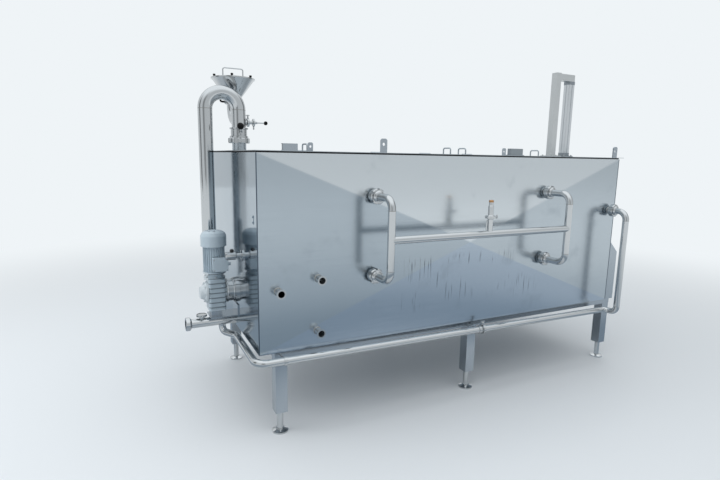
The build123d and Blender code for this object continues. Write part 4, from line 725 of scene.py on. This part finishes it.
@dataclass
class Tank:
    """Walls, deck, lids, inner tank and frame, in millimetres; an outline is radius and height pairs.

    Attributes:
        ports: X and height of each clamp port on the front.
        unions: X and height of each pipe union on the front.
        front: Y of the front wall's edge.
        rise: How far a cross broken wall stands out at its middle.
        port_radius: Outer radius of the ports' stubs.
        weld: Width and height of the weld bead round a stub.
        shoulders: Outlines of the union's shoulder at the wall and of the one before its nut, each with its
            distance in front of the wall's edge.
        joint_ring: Outline of the black joint ring in a port's mouth.
        joint_depth: Distance of that ring's seat in front of the wall's edge.
        fold_out: How far a corner fold stands out of the walls.
        fold_in: How far it bites into them.
        fold_reach: How far it reaches round the corner.
        fold_heights: Heights of its lower and upper ends.
        gland: Outline of the level sensor's gland.
        gland_seat: Seat of that gland.
        hinges: X of the ends of each lid.
        hinge_inset: Distance from a lid's end to its hinge, as a share of the lid's length.
        leaf_y: Y of the screws in the fixed hinge leaves.
        leaf_half: Half the distance between a leaf's two screws.
        screw: Outline of a pan head screw.
    """

    ports: tuple[tuple[float, float], ...] = ((-1198.0, 795.0), (-980.0, 844.0), (-984.0, 559.0))
    unions: tuple[tuple[float, float], ...] = ((-660.0, 1270.0), (-660.0, 835.0), (605.0, 1270.0),
                                               (605.0, 835.0), (1240.0, 1132.0))
    front: float = -590.0
    rise: float = 12.0
    port_radius: float = 19.05
    weld: tuple[float, float] = (5.0, 3.0)
    shoulders: tuple[tuple[float, tuple[tuple[float, float], ...]], ...] = (
        (11.0, ((20.2, 0), (27, 0), (31, 3), (31, 7), (27, 10), (20.2, 10), (20.2, 0))),
        (55.0, ((20.7, 0), (31, 0), (31, 4), (25, 10), (20.7, 11), (20.7, 0))))
    joint_ring: tuple[tuple[float, float], ...] = ((17.45, 0), (17.45, 5), (16.2, 5), (16.2, 0), (17.45, 0))
    joint_depth: float = 59.5
    fold_out: float = 0.6
    fold_in: float = 0.5
    fold_reach: float = 4.0
    fold_heights: tuple[float, float] = (470.0, 1488.0)
    gland: tuple[tuple[float, float], ...] = ((0, -1), (9, -1), (9, 2), (11, 3), (11, 9), (8, 12), (8, 14),
                                              (0, 14))
    gland_seat: tuple[float, float, float] = (-1358.0, -270.0, 954.0)
    hinges: tuple[tuple[float, float], ...] = ((-1045.0, -60.0), (-30.0, 650.0))
    hinge_inset: float = 0.22
    leaf_y: float = 118.0
    leaf_half: float = 12.0
    screw: tuple[tuple[float, float], ...] = ((0, 2.4), (2.4, 2.2), (4.2, 1.2), (4.6, 0), (0, 0))

    def dress(self) -> None:
        """Give the sheets, plates and tubes their finishes."""
        FINISH.dress(FINISH.wall, "front_panel", "rear_panel")
        FINISH.dress(FINISH.mirror, "left_panel")
        FINISH.dress(FINISH.end_sheet, "right_panel")
        FINISH.dress(FINISH.satin, "bottom_cover")
        FINISH.dress(FINISH.deck, "top_deck", "lid_left", "lid_right", "lid_hinges")
        FINISH.dress(FINISH.inside, "inner_tank", "water_jackets", "melting_grid")
        FINISH.dress(FINISH.wool, "insulation")
        # Black rubber of the rim seal, which also paints the shade of the gap under the deck's rim.
        FINISH.dress(FINISH.seal, "rim_seal")
        FINISH.dress(FINISH.leg, "base_frame", "lifting_lugs", "gearbox_bracket")
        FINISH.dress(FINISH.cast, "lid_switch")
        FINISH.dress(FINISH.turned, "front_stubs", "union_nuts", "level_sensor")
        feet = [f"foot_{row}_{place}" for row in ("front", "rear") for place in ("left", "middle", "right")]
        FINISH.dress(FINISH.tube, *feet)

    def face(self, x: float, z: float) -> float:
        """Give how far forward the cross broken front stands at a place.

        Args:
            x: Place along the tank in millimetres.
            z: Height in millimetres.

        Returns:
            The Y of the sheet in millimetres.
        """
        return self.front - self.rise * (1 - max(abs(x) / HALF_LENGTH, abs(z - MID_HEIGHT) / HALF_HEIGHT))

    def welds(self) -> None:
        """Lay the weld beads round every stub on the front."""
        mesh = bmesh.new()
        for stubs, radius in ((self.ports, self.port_radius), (self.unions, PIPE_RADIUS)):
            for x, z in stubs:
                bead(mesh, at(x, self.face(x, z), z), Way.FRONT, radius, *self.weld)
        piece("front_weld_beads", mesh, FINISH.weld)

    def collars(self) -> None:
        """Turn the shoulder of each union on both sides of its nut."""
        mesh = bmesh.new()
        for x, z in self.unions:
            for ahead, outline in self.shoulders:
                turned(mesh, outline, at(x, self.front - ahead, z), Way.FRONT, 40)
        piece("union_collars", mesh, FINISH.tube)

    def liners(self) -> None:
        """Set a black joint ring inside the mouth of each clamp port."""
        mesh = bmesh.new()
        for x, z in self.ports:
            turned(mesh, self.joint_ring, at(x, self.front - self.joint_depth, z), Way.REAR)
        piece("port_joint_rings", mesh, FINISH.seal)

    def corner_folds(self) -> None:
        """Run a thin dark strip down each upright corner of the walls, as painted shade of the corners."""
        mesh = bmesh.new()
        out, bite, reach = self.fold_out, self.fold_in, self.fold_reach
        low, high = self.fold_heights
        for side in (-1, 1):
            for row in (-1, 1):
                x, y = side * HALF_LENGTH, row * -self.front
                outline = ((x + side * out, y - row * reach), (x + side * out, y + row * out),
                           (x - side * reach, y + row * out), (x - side * reach, y - row * bite),
                           (x - side * bite, y - row * bite), (x - side * bite, y - row * reach))
                verts = [mesh.verts.new(at(px, py, low)) for px, py in outline]
                raised(mesh, mesh.faces.new(verts), high - low)
        # The dark strips are painted shade of the corners.
        piece("wall_corner_shade_strips", mesh, FINISH.seam, smooth=False)

    def sensor_gland(self) -> None:
        """Screw a ribbed gland on the level sensor's head."""
        mesh = bmesh.new()
        turned(mesh, self.gland, at(*self.gland_seat), Way.UP, 24)
        piece("level_sensor_gland", mesh, FINISH.nylon)

    def hinge_screws(self) -> None:
        """Set two pan head screws in each fixed hinge leaf."""
        mesh = bmesh.new()
        for low, high in self.hinges:
            inset = self.hinge_inset * (high - low)
            for x in (low + inset, high - inset):
                for step in (-self.leaf_half, self.leaf_half):
                    turned(mesh, self.screw, at(x + step, self.leaf_y, DECK_TOP), Way.UP, 16)
        piece("hinge_screws", mesh, FINISH.turned)

    def build(self) -> None:
        """Dress the tank and add its small pieces."""
        self.dress()
        self.welds()
        self.collars()
        self.liners()
        self.corner_folds()
        self.sensor_gland()
        self.hinge_screws()


@dataclass
class Pipes:
    """Manifold, circulation line and return pipe.

    Attributes:
        clamp_nuts: Seat, direction and hub radius of each pipe clamp's wing nut, in millimetres.
        large_joints: Places where bends join the large pipe, in millimetres.
        small_joints: The same of the manifold and the riser.
        large_bead: Width and height of the butt weld on the large pipe, in millimetres.
        small_bead: The same on the small pipes.
    """

    clamp_nuts: tuple[tuple[tuple[float, float, float], Way, float], ...] = (
        ((105.0, -640.0, 466.5), Way.UP, 9.0), ((24.5, -790.0, 1153.0), Way.RIGHT, 7.0),
        ((-1500.0, -117.0, 554.5), Way.FRONT, 6.5), ((-1140.5, 200.0, 1713.5), Way.UP, 6.0),
        ((-1104.5, 200.0, 1639.5), Way.DOWN, 5.5))
    large_joints: tuple[tuple[float, float, float], ...] = (
        (-1397.0, 200.0, 1746.0), (-1197.0, 200.0, 1746.0), (-1397.0, 200.0, 860.0))
    small_joints: tuple[tuple[float, float, float], ...] = (
        (-660.0, -790.0, 1208.5), (-660.0, -790.0, 896.5), (605.0, -790.0, 1208.5), (605.0, -790.0, 896.5),
        (1240.0, -730.0, 1070.0), (1240.0, -730.0, 458.0))
    large_bead: tuple[float, float] = (4.0, 0.5)
    small_bead: tuple[float, float] = (3.0, 0.4)

    def dress(self) -> None:
        """Give the pipes their finishes."""
        FINISH.dress(FINISH.tube, "manifold_left", "manifold_right", "manifold_bar", "circulation_left",
                     "circulation_right", "discharge_pipe", "return_pipe", "outlet_pipe")
        FINISH.dress(FINISH.turned, "vent_valve", "pipe_clamps", "limb_valve", "limb_valve_lever",
                     "sampler_valve", "sampler_spindle")
        FINISH.dress(FINISH.brass, "vent_cap")
        FINISH.dress(FINISH.ball, "limb_valve_knob", "sampler_knob")

    def wing_nuts(self) -> None:
        """Put a wing nut on the bolt of every pipe clamp."""
        mesh = bmesh.new()
        for seat, way, size in self.clamp_nuts:
            wing_nut(mesh, at(*seat), way, size)
        piece("clamp_wing_nuts", mesh, FINISH.turned)

    def welds(self) -> None:
        """Lay thin ground butt welds where bends join straight tube."""
        mesh = bmesh.new()
        for places, radius, size in ((self.large_joints, LARGE_PIPE_RADIUS, self.large_bead),
                                     (self.small_joints, PIPE_RADIUS, self.small_bead)):
            for place in places:
                bead(mesh, at(*place), Way.UP, radius, *size)
        piece("pipe_butt_welds", mesh, FINISH.weld)

    def build(self) -> None:
        """Dress the pipes and add their small pieces."""
        self.dress()
        self.wing_nuts()
        self.welds()


@dataclass
class Hopper:
    """Dosing hopper with its valve and lid.

    Attributes:
        seam: Place where the cone joins its lower ferrule, in millimetres.
        radius: Outer radius there, in millimetres.
        weld: Width and height of the weld there, in millimetres.
    """

    seam: tuple[float, float, float] = (-1197.0, 330.0, 1825.0)
    radius: float = 42.6
    weld: tuple[float, float] = (3.0, 0.7)

    def dress(self) -> None:
        """Give the hopper its finishes."""
        FINISH.dress(FINISH.tube, "hopper", "hopper_lid")
        FINISH.dress(FINISH.turned, "hopper_valve")
        FINISH.dress(FINISH.ball, "hopper_screws", "hopper_valve_lever")

    def welds(self) -> None:
        """Lay the seam where the cone joins its lower ferrule."""
        mesh = bmesh.new()
        bead(mesh, at(*self.seam), Way.UP, self.radius, *self.weld)
        piece("hopper_weld", mesh, FINISH.weld)

    def build(self) -> None:
        """Dress the hopper and add its seam."""
        self.dress()
        self.welds()


@dataclass(frozen=True)
class BoltCircle:
    """Hexagon bolts evenly spaced round the drive's axis, in millimetres.

    Attributes:
        count: Number of bolts.
        radius: Radius of their circle.
        phase: Angle of the first in radians.
        height: Height of their seats above the floor.
        way: Direction that they face.
        across: Width across their flats.
        tall: Height of their heads.
    """

    count: int
    radius: float
    phase: float
    height: float
    way: Way
    across: float
    tall: float

    def set_in(self, mesh: bmesh.types.BMesh, x: float, y: float) -> None:
        """Set the bolts round an axis.

        Args:
            mesh: Mesh that gets them.
            x: X of the axis in millimetres.
            y: Y of the axis in millimetres.
        """
        for dx, dy in around(self.count, self.radius, self.phase):
            hex_head(mesh, at(x, y, self.height) + Vector((dx, dy, 0)), self.way, self.across, self.tall)


@dataclass
class PumpDrive:
    """Gear motor and pump on the left end, in millimetres; an outline is radius and height pairs.

    Attributes:
        axis: X and Y of the motor's axis.
        circles: Bolts of the gearbox's top flange and of the motor's adapter.
        box_face: Distance from the axis to the terminal box's front.
        box_x: Places of the terminal box's screws along X, from the axis.
        box_z: Their heights.
        box_screw: Outline of such a screw.
        gear_face: Distance from the axis to the gearbox's front.
        plug_x: Place of the oil plugs along X, from the axis.
        plug_z: Their heights.
        plug: Outline of a plug's collar.
        plug_hex: Width across the flats and height of its head.
        pump_z: Height of the pump's axis.
        ring_x: X of the pump's joint rings.
        ring: Outline of such a ring.
    """

    axis: tuple[float, float] = (-1420.0, -75.0)
    circles: tuple[BoltCircle, ...] = (BoltCircle(6, 55.0, math.pi / 6, 780.0, Way.UP, 9.0, 5.5),
                                       BoltCircle(4, 58.0, math.pi / 4, 802.0, Way.DOWN, 8.0, 5.0))
    box_face: float = 108.5
    box_x: tuple[float, float] = (-17.0, 53.0)
    box_z: tuple[float, float] = (835.0, 895.0)
    box_screw: tuple[tuple[float, float], ...] = ((0, 2.5), (2.6, 2.2), (3.8, 0), (0, 0))
    gear_face: float = 60.0
    plug_x: float = 34.0
    plug_z: tuple[float, float] = (622.0, 734.0)
    plug: tuple[tuple[float, float], ...] = ((0, 3), (8, 3), (8, -2))
    plug_hex: tuple[float, float] = (10.0, 4.0)
    pump_z: float = 690.0
    ring_x: tuple[float, float] = (-1354.0, -1319.0)
    ring: tuple[tuple[float, float], ...] = ((64.5, -4), (69, -4), (70.5, -2.5), (70.5, 2.5), (69, 4),
                                             (64.5, 4), (64.5, -4))

    def dress(self) -> None:
        """Give the drive its finishes."""
        FINISH.dress(FINISH.enamel, "motor_housing", "fan_cover", "terminal_box")
        FINISH.dress(FINISH.ribbed, "gearbox")
        FINISH.dress(FINISH.turned, "pump_casing")
        FINISH.dress(FINISH.steel, "pump_rotor", "motor_shaft")

    def bolts(self) -> None:
        """Set the bolts of the motor's adapter, the gearbox's flange and the terminal box."""
        mesh = bmesh.new()
        x, y = self.axis
        for circle in self.circles:
            circle.set_in(mesh, x, y)
        for dx in self.box_x:
            for z in self.box_z:
                turned(mesh, self.box_screw, at(x + dx, y - self.box_face, z), Way.FRONT, 14)
        piece("drive_bolts", mesh, FINISH.turned)

    def plugs(self) -> None:
        """Screw the enamelled oil plugs into the gearbox's front."""
        mesh = bmesh.new()
        x, y = self.axis[0] + self.plug_x, self.axis[1] - self.gear_face
        collar = self.plug[0][1]
        for z in self.plug_z:
            turned(mesh, self.plug, at(x, y, z), Way.FRONT, 24)
            hex_head(mesh, at(x, y - collar, z), Way.FRONT, *self.plug_hex)
        piece("gearbox_plugs", mesh, FINISH.enamel)

    def rings(self) -> None:
        """Turn two raised joint rings round the pump casing."""
        mesh = bmesh.new()
        for x in self.ring_x:
            turned(mesh, self.ring, at(x, self.axis[1], self.pump_z), Way.RIGHT, 56)
        piece("pump_joint_rings", mesh, FINISH.tube)

    def build(self) -> None:
        """Dress the drive and add its fasteners."""
        self.dress()
        self.bolts()
        self.plugs()
        self.rings()


@dataclass
class PresserMast:
    """Mast, air cylinder and presser.

    Attributes:
        foot_plates: X and Y of the middle of each foot plate, and the distance from there to its bolts along
            both, in millimetres.
        plate_top: Height of the plates' upper side, in millimetres.
        bolt: Width across the flats and height of a bolt's head, in millimetres.
    """

    foot_plates: tuple[tuple[float, float, float], ...] = ((940.0, -300.0, 38.0), (1071.0, -300.0, 36.0))
    plate_top: float = 1508.0
    bolt: tuple[float, float] = (10.0, 6.0)

    def dress(self) -> None:
        """Give the mast its finishes."""
        FINISH.dress(FINISH.blasted, "mast")
        FINISH.dress(FINISH.anodised, "cylinder_barrel")
        FINISH.dress(FINISH.cast, "cylinder_ends")
        FINISH.dress(FINISH.turned, "presser")

    def bolts(self) -> None:
        """Bolt both foot plates to the deck."""
        mesh = bmesh.new()
        for x, y, reach in self.foot_plates:
            for sx in (-1, 1):
                for sy in (-1, 1):
                    hex_head(mesh, at(x + sx * reach, y + sy * reach, self.plate_top), Way.UP, *self.bolt)
        piece("foot_plate_bolts", mesh, FINISH.turned)

    def build(self) -> None:
        """Dress the mast and add its fasteners."""
        self.dress()
        self.bolts()


@dataclass(frozen=True)
class SoftBox:
    """Large soft lamp.

    Attributes:
        name: Lamp name.
        place: Where it hangs, in metres.
        aim: Point that it faces.
        size: Its two sides in metres.
        power: Power in watts.
    """

    name: str
    place: tuple[float, float, float]
    aim: tuple[float, float, float]
    size: tuple[float, float]
    power: float

    def hang(self) -> None:
        """Hang the lamp. Metal doesn't mirror it, because its hard edges would show on the tubes."""
        data = bpy.data.lights.new(self.name, "AREA")
        data.shape = "RECTANGLE"
        data.size, data.size_y = self.size
        data.energy = self.power
        lamp = bpy.data.objects.new(self.name, data)
        lamp.location = self.place
        lamp.rotation_euler = (Vector(self.aim) - Vector(self.place)).to_track_quat("-Z", "Y").to_euler()
        lamp.visible_glossy = False
        bpy.context.scene.collection.objects.link(lamp)


@dataclass
class Studio:
    """Pale floor and backdrop, soft lamps and the camera.

    Attributes:
        floor_half: Half the side of the square floor in metres.
        floor_hex: Colour of the floor.
        floor_fade: Distances from the machine over which the floor runs into the backdrop, in metres.
        belts: Colours that metal mirrors from two belts of the floor, some way off and round the machine,
            each with the distances at which it starts, is full, starts to fade and is gone, in metres.
        backdrop_hex: Colour of the backdrop and of the floor far away.
        room_hex: Colour of the even light from the room.
        room_level: Strength of that light.
        screen_hex: Colour of the screens that metal mirrors.
        screens: Angle round the machine in degrees, from the near side towards the right, and brightness that
            metal mirrors there: bright screens with dark gaps between them.
        ceiling_level: Brightness that metal mirrors from above.
        ceiling_rise: Upward slant of the mirrored ray, as a sine, over which the screens turn to the ceiling.
        lamps: The soft boxes.
        eye: Camera place in metres.
        right: Camera's right direction.
        up: Camera's up direction.
        lens: Focal length in millimetres.
        sensor: Width of the sensor in millimetres.
        far: Distance at which the camera stops seeing, in metres.
    """

    floor_half: float = 20.0
    floor_hex: str = "dde2e6"
    floor_fade: tuple[float, float] = (2.2, 7.0)
    belts: tuple[tuple[str, tuple[float, float, float, float]], ...] = (
        ("c6cfd6", (1.0, 1.9, 3.4, 5.0)), ("9aa8b4", (1.15, 1.7, 2.2, 3.0)))
    backdrop_hex: str = "eff4f7"
    room_hex: str = "eef1f3"
    room_level: float = 0.62
    screen_hex: str = "e9eef1"
    screens: tuple[tuple[float, float], ...] = (
        (-180, 0.84), (-114, 0.9), (-107, 0.25), (-92, 0.25), (-84, 0.9), (-50, 0.88), (-41, 0.4), (-24, 0.4),
        (-14, 0.8), (70, 0.84), (80, 0.28), (98, 0.28), (107, 0.9), (180, 0.84))
    ceiling_level: float = 1.45
    ceiling_rise: tuple[float, float] = (0.35, 0.9)
    lamps: tuple[SoftBox, ...] = (
        SoftBox("soft_box_above", (-0.6, -0.8, 5.0), (0, 0, 0.6), (8.0, 7.0), 205.0),
        SoftBox("soft_box_left", (-5.2, 0.6, 3.0), (-0.6, 0, 0.9), (3.0, 3.2), 60.0))
    eye: tuple[float, float, float] = (-1.7979, -2.8154, 1.4758)
    right: tuple[float, float, float] = (0.89592, -0.44390, 0.01696)
    up: tuple[float, float, float] = (0.05927, 0.15727, 0.98578)
    lens: float = 24.52
    sensor: float = 36.0
    far: float = 100.0

    def floor_paint(self) -> bpy.types.Material:
        """Build the floor's material: plain and pale, with the belts that only metal mirrors.

        Returns:
            The material.
        """
        material = bpy.data.materials.new("pale_studio_floor")
        material.use_nodes = True
        tree = material.node_tree
        shader = tree.nodes["Principled BSDF"]
        shader.inputs["Roughness"].default_value = 0.6
        shader.inputs["Base Color"].default_value = linear(self.floor_hex)
        place = add_node(tree, "ShaderNodeTexCoord").outputs["Object"]
        away = add_node(tree, "ShaderNodeVectorMath", {"operation": "LENGTH"}, {0: place}).outputs["Value"]
        start, end = self.floor_fade
        fade = add_node(tree, "ShaderNodeMapRange", {"interpolation_type": "SMOOTHSTEP", "From Min": start,
                                                     "From Max": end}, {"Value": away})
        seen = add_node(tree, "ShaderNodeMath", {"operation": "MULTIPLY"},
                        {0: fade.outputs[0], 1: shown(tree)})
        gloss = add_node(tree, "ShaderNodeLightPath").outputs["Is Glossy Ray"]
        layers = [(seen, self.backdrop_hex)]
        for tint, band in self.belts:
            belt = add_node(tree, "ShaderNodeMath", {"operation": "MULTIPLY"},
                            {0: within(tree, away, band), 1: gloss})
            layers.append((belt, tint))
        surface = shader
        for share, tint in layers:
            plain = add_node(tree, "ShaderNodeEmission", {"Color": linear(tint)})
            surface = add_node(tree, "ShaderNodeMixShader", links={0: share.outputs[0], 1: surface.outputs[0],
                                                                   2: plain.outputs[0]})
        tree.links.new(surface.outputs[0], tree.nodes["Material Output"].inputs["Surface"])
        return material

    def floor(self) -> None:
        """Lay a large pale floor that runs into the backdrop's colour far from the machine."""
        mesh = bmesh.new()
        bmesh.ops.create_grid(mesh, x_segments=2, y_segments=2, size=self.floor_half)
        data = bpy.data.meshes.new("studio_floor")
        mesh.to_mesh(data)
        mesh.free()
        data.materials.append(self.floor_paint())
        floor = bpy.data.objects.new("studio_floor", data)
        bpy.context.scene.collection.objects.link(floor)

    def mirrored_level(self, tree: bpy.types.NodeTree) -> bpy.types.NodeSocket:
        """Give the brightness that metal mirrors: the screens round the machine and the ceiling above them.

        Args:
            tree: The world's tree.

        Returns:
            The socket.
        """
        way = add_node(tree, "ShaderNodeTexCoord").outputs["Generated"]
        axes = add_node(tree, "ShaderNodeSeparateXYZ", links={"Vector": way})
        near = add_node(tree, "ShaderNodeMath", {"operation": "MULTIPLY", 1: -1.0}, {0: axes.outputs["Y"]})
        angle = add_node(tree, "ShaderNodeMath", {"operation": "ARCTAN2"},
                         {0: axes.outputs["X"], 1: near.outputs[0]})
        turn = add_node(tree, "ShaderNodeMath", {"operation": "MULTIPLY_ADD", 1: 1 / math.tau, 2: 0.5},
                        {0: angle.outputs[0]})
        screens = add_node(tree, "ShaderNodeFloatCurve", links={"Value": turn.outputs[0]})
        curve = screens.mapping.curves[0]
        levels = [(degrees / 360 + 0.5, level) for degrees, level in self.screens]
        for point, place in zip(list(curve.points), (levels[0], levels[-1])):
            point.location = place
        for place in levels[1:-1]:
            curve.points.new(*place)
        for point in curve.points:
            point.handle_type = "VECTOR"
        screens.mapping.update()
        low, high = self.ceiling_rise
        rise = add_node(tree, "ShaderNodeMapRange", {"interpolation_type": "SMOOTHSTEP", "From Min": low,
                                                     "From Max": high}, {"Value": axes.outputs["Z"]})
        level = add_node(tree, "ShaderNodeMix", {"data_type": "FLOAT", 3: self.ceiling_level},
                         {0: rise.outputs[0], 2: screens.outputs[0]})
        return level.outputs[0]

    def sky(self) -> None:
        """Light the room evenly, show the camera a pale backdrop, and let metal mirror screens and gaps."""
        world = bpy.data.worlds.new("pale_room")
        bpy.context.scene.world = world
        world.use_nodes = True
        tree = world.node_tree
        tree.nodes.clear()
        path = add_node(tree, "ShaderNodeLightPath")
        plain = add_node(tree, "ShaderNodeBackground", {"Color": linear(self.room_hex),
                                                        "Strength": self.room_level})
        mirrored = add_node(tree, "ShaderNodeBackground", {"Color": linear(self.screen_hex)},
                            {"Strength": self.mirrored_level(tree)})
        backdrop = add_node(tree, "ShaderNodeBackground", {"Color": linear(self.backdrop_hex),
                                                           "Strength": 1.0})
        gloss = add_node(tree, "ShaderNodeMath", {"operation": "MAXIMUM"},
                         {0: path.outputs["Is Glossy Ray"], 1: path.outputs["Is Transmission Ray"]})
        room = add_node(tree, "ShaderNodeMixShader", links={0: gloss.outputs[0], 1: plain.outputs[0],
                                                            2: mirrored.outputs[0]})
        whole = add_node(tree, "ShaderNodeMixShader", links={0: path.outputs["Is Camera Ray"],
                                                             1: room.outputs[0], 2: backdrop.outputs[0]})
        add_node(tree, "ShaderNodeOutputWorld", links={"Surface": whole.outputs[0]})

    def camera(self) -> None:
        """Stand the camera where the photograph was taken."""
        right, up = Vector(self.right), Vector(self.up)
        turn = Matrix((right, up, right.cross(up))).transposed().to_4x4()
        data = bpy.data.cameras.new("photograph_view")
        data.lens = self.lens
        data.sensor_width = self.sensor
        data.clip_end = self.far
        camera = bpy.data.objects.new("photograph_view", data)
        camera.matrix_world = Matrix.Translation(Vector(self.eye)) @ turn
        bpy.context.scene.collection.objects.link(camera)
        bpy.context.scene.camera = camera

    def build(self) -> None:
        """Set up floor, lamps, room and camera."""
        self.floor()
        self.sky()
        self.camera()
        for lamp in self.lamps:
            lamp.hang()
        bpy.context.scene.view_settings.view_transform = "Standard"


def main() -> None:
    """Build the studio and dress every sub-assembly."""
    logging.basicConfig(level=logging.INFO)
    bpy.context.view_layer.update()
    Studio().build()
    for part in (Tank(), Pipes(), Hopper(), PumpDrive(), PresserMast()):
        part.build()
        log.info("%s done", type(part).__name__)


if __name__ == "__main__":
    main()
